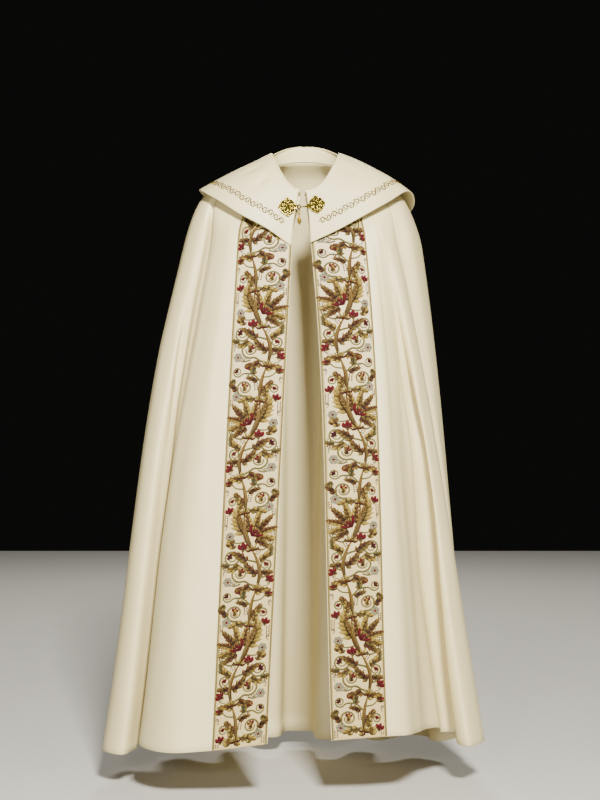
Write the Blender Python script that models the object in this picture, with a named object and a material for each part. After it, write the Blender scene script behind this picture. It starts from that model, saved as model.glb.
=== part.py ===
"""A cope in its worn form: an open cloak of ivory cloth with a wide cape collar, two
embroidered front bands edged with gold braid, and a two-plate metal clasp with a pendant.

Metres. +X is to the right of someone who faces the cope, +Y towards its back, +Z up.
The origin is the middle of the neck, level with the tops of the shoulders.
"""

import math
from collections import namedtuple

import bpy
import numpy as np

# Walls, trims and gaps
CLOTH_WALL = 0.0020
COLLAR_WALL = 0.0030
BAND_WALL = 0.0012
BRAID_WALL = 0.0018
SEAM_GAP = 0.0003
BAND_WIDTH = 0.128          # front band with both of its braids
BRAID_WIDTH = 0.006
BAND_COLUMNS = 8            # facets across the satin of a band
BODY_COLUMNS = 88           # facets across the cloth between the two bands

# Heights down the cloth, as shares of the way from neckline to hem
NECKLINE_ROW = 0.0
MID_SHOULDER_ROW = 0.045
SHOULDER_ROW = 0.10
CHEST_ROW = 0.17
UPPER_ROWS = (0.0, 0.022, 0.045, 0.072, 0.09, 0.11, 0.13, 0.15)
LOWER_ROWS = (0.17, 0.24, 0.32, 0.41, 0.51, 0.62, 0.74, 0.87, 1.0)
BAND_TOP = 2                # row, counted from the neckline, where the front bands start
PROBE_ACROSS = 0.001        # small steps that find the cloth's slope
PROBE_DOWN = 0.002
DENSE_POINTS = 1201         # points along a curve whose length is measured

# Rings of the cloth over the shoulders. left and right are half widths; the edge columns
# give where the two front edges cross the ring; squareness is a superellipse's exponent.
Ring = namedtuple(
    "Ring", "row left right front back front_z side_z back_z squareness left_edge right_edge")
SHOULDER_RINGS = (
    Ring(NECKLINE_ROW, 0.076, 0.078, -0.095, 0.072, -0.089, -0.004, 0.014, 2.2, -0.0120, 0.0005),
    Ring(MID_SHOULDER_ROW, 0.150, 0.150, -0.102, 0.116, -0.122, -0.029, -0.024, 2.2, -0.0165, 0.0050),
    Ring(SHOULDER_ROW, 0.240, 0.229, -0.110, 0.148, -0.158, -0.070, -0.108, 2.4, -0.0250, 0.0095),
)
CHEST_Z = -0.200

# Folds of the front and sides, from each front edge outwards: where the fold's line crosses
# chest height, and where it ends at the hem.
Fold = namedtuple("Fold", "name chest_x chest_y hem_x hem_y hem_z")
LEFT_FOLDS = (
    Fold("front edge", -0.0305, -0.1140, -0.0870, -0.2400, -1.352),
    Fold("band edge", -0.1590, -0.1165, -0.2140, -0.2360, -1.368),
    Fold("panel", -0.1950, -0.1035, -0.3150, -0.2200, -1.376),
    Fold("panel shoulder", -0.2130, -0.0890, -0.3700, -0.1690, -1.377),
    Fold("panel roll", -0.2220, -0.0750, -0.3930, -0.1050, -1.378),
    Fold("roll back", -0.2255, -0.0650, -0.3820, -0.0450, -1.388),
    Fold("tuck", -0.2330, -0.0580, -0.3860, -0.0050, -1.398),
    Fold("flute inside", -0.2460, -0.0570, -0.4060, -0.0400, -1.405),
    Fold("flute front", -0.2640, -0.0500, -0.4350, -0.0880, -1.408),
    Fold("flute outside", -0.2850, -0.0260, -0.4740, -0.0560, -1.408),
    Fold("left side", -0.2940, 0.0100, -0.4880, 0.0050, -1.409),
)
RIGHT_FOLDS = (
    Fold("front edge", 0.0145, -0.1140, 0.0600, -0.2400, -1.344),
    Fold("band edge", 0.1430, -0.1175, 0.1870, -0.2360, -1.335),
    Fold("panel", 0.1570, -0.1165, 0.2330, -0.2180, -1.336),
    Fold("panel turn", 0.1650, -0.1150, 0.2620, -0.1620, -1.340),
    Fold("valley", 0.1740, -0.1130, 0.2900, -0.0900, -1.346),
    Fold("valley floor", 0.1820, -0.1100, 0.3260, -0.0420, -1.354),
    Fold("valley end", 0.1880, -0.1075, 0.3500, -0.0100, -1.376),
    Fold("flute inside", 0.1930, -0.1045, 0.3690, -0.0480, -1.383),
    Fold("flute front", 0.2020, -0.0985, 0.3880, -0.0970, -1.386),
    Fold("flute outside", 0.2130, -0.0870, 0.4200, -0.0600, -1.386),
    Fold("flute back", 0.2190, -0.0740, 0.4290, -0.0050, -1.388),
    Fold("side tuck", 0.2240, -0.0600, 0.3980, 0.0420, -1.392),
    Fold("side ridge", 0.2600, -0.0400, 0.4080, 0.0950, -1.400),
    Fold("right side", 0.2825, 0.0150, 0.4130, 0.1350, -1.406),
)

# Flutes of the back, from the left side to the right: bearing about the middle of the hem
# (0 straight ahead, 90 left, 180 back, 270 right), half the width of its rounded crest or
# floor in degrees, how far out it reaches at the hem, and how far it stands off the smooth
# chest ring.
Flute = namedtuple("Flute", "name bearing half_width reach chest_lift hem_z")
BACK_FLUTES = (
    Flute("left valley", 101.0, 1.6, 0.392, -0.003, -1.412),
    Flute("ridge 1", 112.5, 2.6, 0.468, 0.004, -1.418),
    Flute("valley 1", 123.0, 1.5, 0.366, -0.003, -1.424),
    Flute("ridge 2", 134.5, 3.2, 0.452, 0.004, -1.430),
    Flute("valley 2", 145.5, 1.8, 0.342, -0.004, -1.436),
    Flute("ridge 3", 157.0, 2.8, 0.436, 0.005, -1.443),
    Flute("valley 3", 168.0, 1.6, 0.322, -0.003, -1.447),
    Flute("ridge 4", 180.5, 3.6, 0.416, 0.004, -1.450),
    Flute("valley 4", 193.5, 2.0, 0.310, -0.004, -1.450),
    Flute("ridge 5", 204.5, 2.6, 0.428, 0.005, -1.448),
    Flute("valley 5", 215.0, 1.5, 0.336, -0.003, -1.446),
    Flute("ridge 6", 229.0, 6.0, 0.446, 0.003, -1.442),
    Flute("right valley", 244.5, 1.6, 0.378, -0.003, -1.424),
)
HEM_CENTRE = (-0.020, 0.0)
CHEST_RING = Ring(
    CHEST_ROW, 0.300, 0.286, -0.119, 0.178, CHEST_Z, CHEST_Z, CHEST_Z, 2.3, -0.0305, 0.0145)

# The wearer's bent arms push the cloth sideways a third of the way down
LEFT_ELBOW = 0.021
RIGHT_ELBOW = 0.010
LEFT_ELBOW_WIDTH = 0.33     # half width at which the left push is whole
RIGHT_ELBOW_WIDTH = 0.02
ELBOW_FADE = (0.05, 0.25)   # the push dies out between these depths
ELBOW_SWELL = 6.75          # makes the curve t(1-t)^2 reach 1 at its top

# Cape collar: the roll round the neck, the stand inside it and the outer edge
ROLL_RADIUS = 0.0045
ROLL_STEPS = 3
STAND_LIFT = 0.0030         # stand's foot above the cut edge of the neckline
NECK_ROLL = Ring(0.0, 0.0800, 0.0830, -0.1090, 0.0860, -0.0730, 0.0250, 0.0560, 2.3, -0.0125, 0.0005)
COLLAR_COLUMNS = 52
COLLAR_ROWS = 6
COLLAR_SEARCH = (401, 60)   # fine grid on which a place on the collar is looked up
CollarEdge = namedtuple("CollarEdge", "name x y z arch")
COLLAR_EDGE = (
    CollarEdge("left point", -0.0330, -0.1220, -0.2040, 0.002),
    CollarEdge("left breast", -0.0900, -0.1270, -0.1640, 0.006),
    CollarEdge("left front", -0.1510, -0.1210, -0.1310, 0.010),
    CollarEdge("left arm", -0.1990, -0.0990, -0.0990, 0.012),
    CollarEdge("left tip front", -0.2420, -0.0520, -0.0710, 0.006),
    CollarEdge("left tip", -0.2550, 0.0050, -0.0610, 0.003),
    CollarEdge("left rear", -0.2360, 0.0780, -0.0780, 0.010),
    CollarEdge("left blade", -0.1750, 0.1500, -0.1250, 0.020),
    CollarEdge("left back", -0.0900, 0.1880, -0.1650, 0.028),
    CollarEdge("centre back", 0.0050, 0.2000, -0.1800, 0.030),
    CollarEdge("right back", 0.1000, 0.1900, -0.1680, 0.028),
    CollarEdge("right blade", 0.1850, 0.1560, -0.1380, 0.020),
    CollarEdge("right rear", 0.2470, 0.0980, -0.1160, 0.022),
    CollarEdge("right curl", 0.2660, 0.0480, -0.0940, 0.017),
    CollarEdge("right tip", 0.2620, 0.0000, -0.0740, 0.012),
    CollarEdge("right tip front", 0.2450, -0.0450, -0.0680, 0.012),
    CollarEdge("right arm", 0.1980, -0.0970, -0.0980, 0.012),
    CollarEdge("right front", 0.1425, -0.1200, -0.1310, 0.010),
    CollarEdge("right breast", 0.0700, -0.1270, -0.1710, 0.006),
    CollarEdge("right point", 0.0135, -0.1220, -0.1970, 0.002),
)

# Clasp: lozenge plates on the collar's fronts, hook and eye between them, pendant below
PLATE_LIFT = 0.0013         # plate's back above the collar's face, so its flat back clears
PLATE_ANGLES = 40
PLATE_CORNER_POWER = 1.38   # 1 is a sharp lozenge, 2 a circle
PLATE_SCALLOP = 0.022       # depth of the eight lobes of a plate's edge
PLATE_LOBES = 8
PLATE_CORNERS = 4
Plate = namedtuple("Plate", "name x z half_diagonal turn")
LEFT_PLATE = Plate("clasp_plate_left", -0.0412, -0.1133, 0.0228, 2.0)
RIGHT_PLATE = Plate("clasp_plate_right", 0.0276, -0.1088, 0.0220, 10.0)
PlateRing = namedtuple("PlateRing", "share height petal corner")
PLATE_RINGS = (
    PlateRing(0.14, 0.0046, 0.0002, 0.0),
    PlateRing(0.28, 0.0041, 0.0005, 0.0),
    PlateRing(0.40, 0.0032, 0.0004, 0.0),
    PlateRing(0.50, 0.0022, 0.0, 0.0),
    PlateRing(0.66, 0.0022, 0.0, 0.0008),
    PlateRing(0.80, 0.0025, 0.0, 0.0012),
    PlateRing(0.93, 0.0030, 0.0, 0.0008),
    PlateRing(1.00, 0.0018, 0.0, 0.0),
)
ROSETTE_TOP = 0.0046
ROSETTE_PETALS = 5
WIRE_RADIUS = 0.0009
EYE_CENTRE = (-0.0138, -0.1196, -0.1133)
EYE_RADIUS = 0.0040
EYE_TAIL = ((-0.0255, -0.1180, -0.1118), (-0.0205, -0.1184, -0.1112))
EYE_START_ANGLE = 150       # where the ring leaves its tail, and how far round it bends
EYE_TURN = 320
EYE_STEPS = 16
HOOK_RADIUS = 0.0009
HOOK_BEND = 0.0021
HOOK_TAIL = ((0.0135, -0.1198, -0.1118), (0.0085, -0.1202, -0.1120))
HOOK_END_X = -0.0045
HOOK_STEPS = 8
RING_SIDES = 8              # facets round a ring's wire, and along it
RING_STEPS = 20
LOOP_RADIUS = 0.0032
LOOP_WIRE = 0.0007
LOOP_OFFSET = (0.0, -0.0007, -0.0010)   # loop's middle from the eye's lowest wire
PENDANT_RING_RADIUS = 0.0026
PENDANT_RING_WIRE = 0.0006
RING_PLAY = 0.00045          # the ring hangs this much clear of the loop
PENDANT_SIDES = 16
PENDANT_THICKNESS = 0.2     # front to back, as a share of the width
DropRing = namedtuple("DropRing", "below radius")
DROP_PROFILE = (
    DropRing(0.0000, 0.0010),
    DropRing(0.0020, 0.0022),
    DropRing(0.0045, 0.0026),
    DropRing(0.0070, 0.0012),
    DropRing(0.0105, 0.0022),
    DropRing(0.0160, 0.0044),
    DropRing(0.0205, 0.0050),
    DropRing(0.0250, 0.0040),
    DropRing(0.0285, 0.0018),
    DropRing(0.0310, 0.0009),
)

# Finishes: colour, roughness, metallic
Finish = namedtuple("Finish", "colour roughness metallic")
IVORY = Finish((0.80, 0.74, 0.58), 0.62, 0.0)
SATIN = Finish((0.84, 0.78, 0.64), 0.45, 0.0)
BRAID_GOLD = Finish((0.62, 0.44, 0.13), 0.45, 0.3)
CAST_GOLD = Finish((0.72, 0.56, 0.20), 0.30, 1.0)


def smooth_step(value, low, high):
    """0 below low, 1 above high, and a soft ramp between them."""
    share = np.clip((value - low) / (high - low), 0.0, 1.0)
    return share * share * (3.0 - 2.0 * share)


def spline(knots, values, at):
    """Smooth curve through values at unevenly spaced knots, read at the places asked for."""
    knots = np.asarray(knots, dtype=float)
    values = np.asarray(values, dtype=float)
    at = np.asarray(at, dtype=float)
    spread = (-1,) + (1,) * (values.ndim - 1)
    steps = np.diff(knots)
    slopes = np.diff(values, axis=0) / steps.reshape(spread)
    before = steps[:-1].reshape(spread)
    after = steps[1:].reshape(spread)
    tangents = np.empty_like(values)
    tangents[0] = slopes[0]
    tangents[-1] = slopes[-1]
    tangents[1:-1] = (after * slopes[:-1] + before * slopes[1:]) / (before + after)
    piece = np.clip(np.searchsorted(knots, at, side="right") - 1, 0, len(steps) - 1)
    t = ((at - knots[piece]) / steps[piece]).reshape(spread)
    span = steps[piece].reshape(spread)
    start = (1 + 2 * t) * (1 - t) ** 2 * values[piece] + t * (1 - t) ** 2 * span * tangents[piece]
    end = t * t * (3 - 2 * t) * values[piece + 1] + t * t * (t - 1) * span * tangents[piece + 1]
    return start + end


def run_length(points):
    """Distance along a row of points, starting at 0."""
    steps = np.linalg.norm(np.diff(points, axis=0), axis=1)
    return np.concatenate(([0.0], np.cumsum(steps)))


def read_along(points, distances):
    """Points at the given distances along a row of points."""
    lengths = run_length(points)
    return np.stack([np.interp(distances, lengths, points[:, axis]) for axis in range(3)], axis=1)


def ring_at(ring, bearing):
    """Point of a ring at a bearing: 0 front, a quarter turn left side, a half turn back."""
    power = 2 / ring.squareness
    sine = np.sin(bearing)
    cosine = np.cos(bearing)
    half_width = np.where(sine > 0, ring.left, ring.right)
    x = -np.sign(sine) * half_width * np.abs(sine) ** power
    middle = (ring.front + ring.back) / 2
    half_depth = (ring.back - ring.front) / 2
    y = middle - np.sign(cosine) * half_depth * np.abs(cosine) ** power
    towards_front = np.clip(cosine, 0, 1) ** 2
    towards_back = np.clip(-cosine, 0, 1) ** 2
    z = ring.side_z + (ring.front_z - ring.side_z) * towards_front
    z = z + (ring.back_z - ring.side_z) * towards_back
    return np.stack([x, y, z], axis=-1)


def ring_points(ring):
    """A ring as a dense row of points, from the left front edge round the back to the right."""
    start = math.asin((abs(ring.left_edge) / ring.left) ** (ring.squareness / 2))
    end = math.asin((abs(ring.right_edge) / ring.right) ** (ring.squareness / 2))
    return ring_at(ring, np.linspace(start, 2 * math.pi - end, DENSE_POINTS))


def fold_lines():
    """Where every fold's line crosses chest height and the hem, round the whole cope."""
    chest = [(f.chest_x, f.chest_y, CHEST_Z) for f in LEFT_FOLDS]
    hem = [(f.hem_x, f.hem_y, f.hem_z) for f in LEFT_FOLDS]
    for flute in BACK_FLUTES:
        for edge in (-flute.half_width, flute.half_width):
            bearing = math.radians(flute.bearing + edge)
            outwards = np.array([-math.sin(bearing), -math.cos(bearing), 0.0])
            chest.append(ring_at(CHEST_RING, bearing) + flute.chest_lift * outwards)
            foot = outwards * flute.reach
            hem.append((HEM_CENTRE[0] + foot[0], HEM_CENTRE[1] + foot[1], flute.hem_z))
    for fold in reversed(RIGHT_FOLDS):
        chest.append((fold.chest_x, fold.chest_y, CHEST_Z))
        hem.append((fold.hem_x, fold.hem_y, fold.hem_z))
    return np.array(chest), np.array(hem)


def hem_width():
    """Length of the hem, straight from fold to fold: the measure used across the cloth."""
    return run_length(fold_lines()[1])[-1]


def cope_surface(across, down):
    """Middle of the cloth's wall: across is in metres from the left front edge, down is 0 to 1."""
    across = np.asarray(across, dtype=float)
    down = np.asarray(down, dtype=float)
    chest_folds, hem_folds = fold_lines()
    knots = run_length(hem_folds)
    chest = spline(knots, chest_folds, across)
    hem = spline(knots, hem_folds, across)

    # Over the shoulders the bands keep their width and the rest shares what is left
    dense = np.linspace(BAND_WIDTH, knots[-1] - BAND_WIDTH, DENSE_POINTS)
    chest_run = run_length(spline(knots, chest_folds, dense))
    share = np.interp(across, dense, chest_run / chest_run[-1])
    from_right = knots[-1] - across
    rings = []
    for ring in SHOULDER_RINGS:
        points = ring_points(ring)
        length = run_length(points)[-1]
        between = BAND_WIDTH + share * (length - 2 * BAND_WIDTH)
        distance = np.where(across < BAND_WIDTH, across, between)
        distance = np.where(from_right < BAND_WIDTH, length - from_right, distance)
        rings.append(read_along(points, distance))

    def below_chest(share_down):
        """Straight lines from chest to hem, with the elbows' push."""
        share_down = np.asarray(share_down).reshape(-1, 1)
        points = chest[None] + (hem - chest)[None] * share_down[..., None]
        swell = ELBOW_SWELL * share_down * (1 - share_down) ** 2
        left = np.clip(-points[..., 0] / LEFT_ELBOW_WIDTH, 0, 1) ** 3 * LEFT_ELBOW
        right = np.clip(points[..., 0] / RIGHT_ELBOW_WIDTH, 0, 1) * RIGHT_ELBOW
        in_front = 1 - smooth_step(points[..., 1], *ELBOW_FADE)
        points[..., 0] += swell * in_front * (right - left)
        return points

    row_knots = [ring.row for ring in SHOULDER_RINGS] + [CHEST_ROW, CHEST_ROW + PROBE_DOWN]
    next_row = below_chest([PROBE_DOWN / (1 - CHEST_ROW)])[0]
    row_values = np.array(rings + [chest, next_row])
    upper = spline(row_knots, row_values, np.minimum(down, CHEST_ROW))
    lower = below_chest(np.clip((down - CHEST_ROW) / (1 - CHEST_ROW), 0, 1))
    chosen = np.where((down < CHEST_ROW)[:, None, None], upper, lower)
    return chosen.transpose(1, 0, 2)


def collar_surface(columns, rows):
    """Middle of the collar's wall, from the foot of the stand over the roll to the outer edge."""
    edge_points = np.array([(e.x, e.y, e.z) for e in COLLAR_EDGE])
    knots = run_length(edge_points)
    across = np.linspace(0, knots[-1], columns)
    edge = spline(knots, edge_points, across)
    arch = spline(knots, np.array([[e.arch] for e in COLLAR_EDGE]), across)
    share = run_length(edge) / run_length(edge)[-1]

    def on_ring(ring):
        points = ring_points(ring)
        return read_along(points, share * run_length(points)[-1])

    roll = on_ring(NECK_ROLL)
    foot = on_ring(SHOULDER_RINGS[0])
    along = np.gradient(roll, axis=0)
    along[:, 2] = 0
    outwards = np.stack([along[:, 1], -along[:, 0], np.zeros(columns)], axis=1)
    outwards /= np.linalg.norm(outwards, axis=1)[:, None]
    up = np.array([0.0, 0.0, 1.0])
    foot = foot + up * STAND_LIFT

    fall = edge - roll
    reach = np.linalg.norm(fall[:, :2], axis=1)
    last_angle = math.pi / 2 - np.arctan2(-fall[:, 2], reach)
    centre = roll - up * ROLL_RADIUS
    grid = [foot]
    for step in range(ROLL_STEPS + 1):
        angle = math.pi + (last_angle - math.pi) * step / ROLL_STEPS
        turned = outwards * np.cos(angle)[:, None] + up * np.sin(angle)[:, None]
        grid.append(centre + turned * ROLL_RADIUS)
    start = grid[-1]
    slope = edge - start
    ahead = slope / np.linalg.norm(slope, axis=1)[:, None]
    beside = np.cross(ahead, up)
    beside /= np.linalg.norm(beside, axis=1)[:, None]
    lifted = np.cross(beside, ahead)
    for row in range(1, rows + 1):
        t = row / rows
        grid.append(start + slope * t + lifted * arch * 4 * t * (1 - t))
    return np.array(grid).transpose(1, 0, 2)


def outward_normals(grid):
    """Unit normals of a grid of points, facing the outside of the garment."""
    across = np.gradient(grid, axis=0)
    down = np.gradient(grid, axis=1)
    normals = np.cross(across, down)
    return normals / np.linalg.norm(normals, axis=2)[..., None]


def cope_grid(across, down):
    """Middle points of the cloth's wall and the unit normals there."""
    across = np.asarray(across, dtype=float)
    down = np.asarray(down, dtype=float)
    width = hem_width()
    left = cope_surface(np.clip(across - PROBE_ACROSS, 0, width), down)
    right = cope_surface(np.clip(across + PROBE_ACROSS, 0, width), down)
    above = cope_surface(across, np.clip(down - PROBE_DOWN, 0, 1))
    below = cope_surface(across, np.clip(down + PROBE_DOWN, 0, 1))
    normals = np.cross(right - left, below - above)
    normals /= np.linalg.norm(normals, axis=2)[..., None]
    return cope_surface(across, down), normals


def material(name, finish):
    """Principled material with one colour, roughness and metallic value."""
    made = bpy.data.materials.get(name)
    if made is None:
        made = bpy.data.materials.new(name)
        made.use_nodes = True
        shader = made.node_tree.nodes["Principled BSDF"]
        shader.inputs["Base Color"].default_value = (*finish.colour, 1.0)
        shader.inputs["Roughness"].default_value = finish.roughness
        shader.inputs["Metallic"].default_value = finish.metallic
    return made


def add_mesh(name, vertices, faces, finish):
    """One smooth-shaded object in the scene from points and faces."""
    mesh = bpy.data.meshes.new(name)
    mesh.from_pydata([tuple(v) for v in vertices], [], faces)
    mesh.validate()
    mesh.shade_smooth()
    made = bpy.data.objects.new(name, mesh)
    made.data.materials.append(material(name + "_finish", finish))
    bpy.context.scene.collection.objects.link(made)
    return made


def add_wall(name, grid, normals, thickness, finish):
    """Closed wall of cloth: the grid moved out and in by half the thickness, and its four edges."""
    across, down = grid.shape[:2]
    half = normals * thickness / 2
    vertices = np.concatenate([(grid + half).reshape(-1, 3), (grid - half).reshape(-1, 3)])
    inner = across * down

    def at(i, j):
        return i * down + j

    faces = []
    for i in range(across - 1):
        for j in range(down - 1):
            quad = (at(i, j), at(i + 1, j), at(i + 1, j + 1), at(i, j + 1))
            for half_quad in (quad[:3], quad[2:] + quad[:1]):
                faces.append(half_quad)
                faces.append(tuple(corner + inner for corner in reversed(half_quad)))
    for i in range(across - 1):
        faces.append((at(i + 1, 0), at(i, 0), at(i, 0) + inner, at(i + 1, 0) + inner))
        last = down - 1
        faces.append((at(i, last), at(i + 1, last), at(i + 1, last) + inner, at(i, last) + inner))
    for j in range(down - 1):
        faces.append((at(0, j), at(0, j + 1), at(0, j + 1) + inner, at(0, j) + inner))
        last = across - 1
        faces.append((at(last, j + 1), at(last, j), at(last, j) + inner, at(last, j + 1) + inner))
    return add_mesh(name, vertices, faces, finish)


def add_body():
    """The cloak: columns follow the bands' edges, then share the rest of the hem."""
    width = hem_width()
    satin = np.linspace(BRAID_WIDTH, BAND_WIDTH - BRAID_WIDTH, BAND_COLUMNS + 1)
    left = np.concatenate([[0.0], satin])
    middle = np.linspace(BAND_WIDTH, width - BAND_WIDTH, BODY_COLUMNS + 1)
    across = np.concatenate([left, middle, width - left[::-1]])
    grid, normals = cope_grid(across, UPPER_ROWS + LOWER_ROWS)
    add_wall("body_cloth", grid, normals, CLOTH_WALL, IVORY)


def add_on_band(name, start, end, columns, thickness, finish, right):
    """A strip on the cloth's outer face between two distances from the front edge."""
    across = np.linspace(start, end, columns + 1)
    if right:
        across = hem_width() - across[::-1]
    rows = (UPPER_ROWS + LOWER_ROWS)[BAND_TOP:]
    grid, normals = cope_grid(across, rows)
    lift = CLOTH_WALL / 2 + SEAM_GAP + thickness / 2
    add_wall(name, grid + normals * lift, normals, thickness, finish)


def add_band(side):
    """One front band: satin between two braids, with a seam gap on each side of it."""
    right = side == "right"
    satin_end = BAND_WIDTH - BRAID_WIDTH
    add_on_band(f"orphrey_{side}", BRAID_WIDTH, satin_end, BAND_COLUMNS, BAND_WALL, SATIN, right)
    add_on_band(f"braid_inner_{side}", 0.0, BRAID_WIDTH - SEAM_GAP, 1, BRAID_WALL, BRAID_GOLD, right)
    add_on_band(f"braid_outer_{side}", satin_end + SEAM_GAP, BAND_WIDTH, 1, BRAID_WALL, BRAID_GOLD, right)


def collar_spot(x, z):
    """Point and normal on the front of the collar's middle, nearest to a place seen from ahead."""
    grid = collar_surface(*COLLAR_SEARCH)
    normals = outward_normals(grid)
    skirt = slice(ROLL_STEPS + 1, None)
    points = grid[:, skirt].reshape(-1, 3)
    normals = normals[:, skirt].reshape(-1, 3)
    apart = np.hypot(points[:, 0] - x, points[:, 2] - z) + np.where(points[:, 1] > 0, 1.0, 0.0)
    nearest = np.argmin(apart)
    return points[nearest], normals[nearest]


def plate_outline(angle, half_diagonal):
    """Radius of the lobed lozenge at an angle from its right-hand corner."""
    corners = abs(math.cos(angle)) ** PLATE_CORNER_POWER + abs(math.sin(angle)) ** PLATE_CORNER_POWER
    lobes = (1 + PLATE_SCALLOP * math.cos(PLATE_LOBES * angle)) / (1 + PLATE_SCALLOP)
    return half_diagonal * corners ** (-1 / PLATE_CORNER_POWER) * lobes


def add_plate(plate):
    """A cast lozenge plate with a raised rim, a rosette in the middle and a boss at each corner."""
    spot, normal = collar_spot(plate.x, plate.z)
    right = np.cross([0.0, 0.0, 1.0], normal)
    right /= np.linalg.norm(right)
    if right[0] < 0:
        right = -right
    upwards = np.cross(right, -normal)
    if upwards[2] < 0:
        upwards = -upwards
    turn = math.radians(plate.turn)
    local_x = right * math.cos(turn) + upwards * math.sin(turn)
    local_y = upwards * math.cos(turn) - right * math.sin(turn)
    base = spot + normal * (COLLAR_WALL / 2 + PLATE_LIFT)

    def place(radius, angle, height):
        flat = local_x * (radius * math.cos(angle)) + local_y * (radius * math.sin(angle))
        return base + flat + normal * height

    angles = [2 * math.pi * k / PLATE_ANGLES for k in range(PLATE_ANGLES)]
    outline = [plate_outline(angle, plate.half_diagonal) for angle in angles]
    vertices = [place(0, 0, ROSETTE_TOP), place(0, 0, 0)]
    for ring in PLATE_RINGS:
        for angle, radius in zip(angles, outline):
            petals = ring.petal * math.cos(ROSETTE_PETALS * angle)
            corner = ring.corner * max(0.0, math.cos(PLATE_CORNERS * angle))
            vertices.append(place(radius * ring.share, angle, ring.height + petals + corner))
    for angle, radius in zip(angles, outline):
        vertices.append(place(radius, angle, 0))
    faces = []
    rings = len(PLATE_RINGS) + 1
    for k in range(PLATE_ANGLES):
        after = (k + 1) % PLATE_ANGLES
        faces.append((0, 2 + k, 2 + after))
        for ring in range(rings - 1):
            low = 2 + ring * PLATE_ANGLES
            high = low + PLATE_ANGLES
            faces.append((low + k, high + k, high + after, low + after))
        back = 2 + (rings - 1) * PLATE_ANGLES
        faces.append((1, back + after, back + k))
    if np.dot(np.cross(local_x, local_y), normal) < 0:
        faces = [tuple(reversed(face)) for face in faces]
    add_mesh(plate.name, vertices, faces, CAST_GOLD)


def add_torus(name, centre, axis, radius, wire):
    """A wire ring whose axis is X or Y."""
    vertices = []
    faces = []
    for i in range(RING_STEPS):
        turn = 2 * math.pi * i / RING_STEPS
        next_i = (i + 1) % RING_STEPS
        for j in range(RING_SIDES):
            roll = 2 * math.pi * j / RING_SIDES
            next_j = (j + 1) % RING_SIDES
            out = radius + wire * math.cos(roll)
            flat = (out * math.cos(turn), out * math.sin(turn))
            off = wire * math.sin(roll)
            offset = (off, flat[0], flat[1]) if axis == "X" else (flat[1], off, flat[0])
            vertices.append([c + o for c, o in zip(centre, offset)])
            here = i * RING_SIDES + j
            ahead = next_i * RING_SIDES + j
            diagonal = next_i * RING_SIDES + next_j
            beside = i * RING_SIDES + next_j
            faces.append((here, ahead, diagonal, beside))
    return add_mesh(name, vertices, faces, CAST_GOLD)


def add_wire(name, points, radius):
    """A bent wire with closed ends."""
    curve = bpy.data.curves.new(name, "CURVE")
    curve.dimensions = "3D"
    curve.bevel_depth = radius
    curve.bevel_resolution = 2
    curve.use_fill_caps = True
    line = curve.splines.new("POLY")
    line.points.add(len(points) - 1)
    for point, place in zip(line.points, points):
        point.co = (*place, 1.0)
    made = bpy.data.objects.new(name, curve)
    made.data.materials.append(material(name + "_finish", CAST_GOLD))
    bpy.context.scene.collection.objects.link(made)


def add_eye():
    """A wire whose tail lies on the left plate and whose end is bent into a ring."""
    eye_x, eye_y, eye_z = EYE_CENTRE
    points = list(EYE_TAIL)
    for step in range(EYE_STEPS + 1):
        angle = math.radians(EYE_START_ANGLE - EYE_TURN * step / EYE_STEPS)
        x = eye_x + EYE_RADIUS * math.cos(angle)
        z = eye_z + EYE_RADIUS * math.sin(angle)
        points.append((x, eye_y, z))
    add_wire("clasp_eye", points, WIRE_RADIUS)


def add_hook():
    """A wire from the right plate, over the eye's wire, through the eye and back."""
    eye_x, eye_y, eye_z = EYE_CENTRE
    rim_x = eye_x + EYE_RADIUS
    points = list(HOOK_TAIL)
    points.append((0.0, eye_y - HOOK_BEND, eye_z))
    for step in range(HOOK_STEPS + 1):
        angle = math.pi * step / HOOK_STEPS
        x = rim_x - HOOK_BEND * math.sin(angle)
        y = eye_y - HOOK_BEND * math.cos(angle)
        points.append((x, y, eye_z))
    points.append((HOOK_END_X, eye_y + HOOK_BEND, eye_z))
    add_wire("clasp_hook", points, HOOK_RADIUS)


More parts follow.
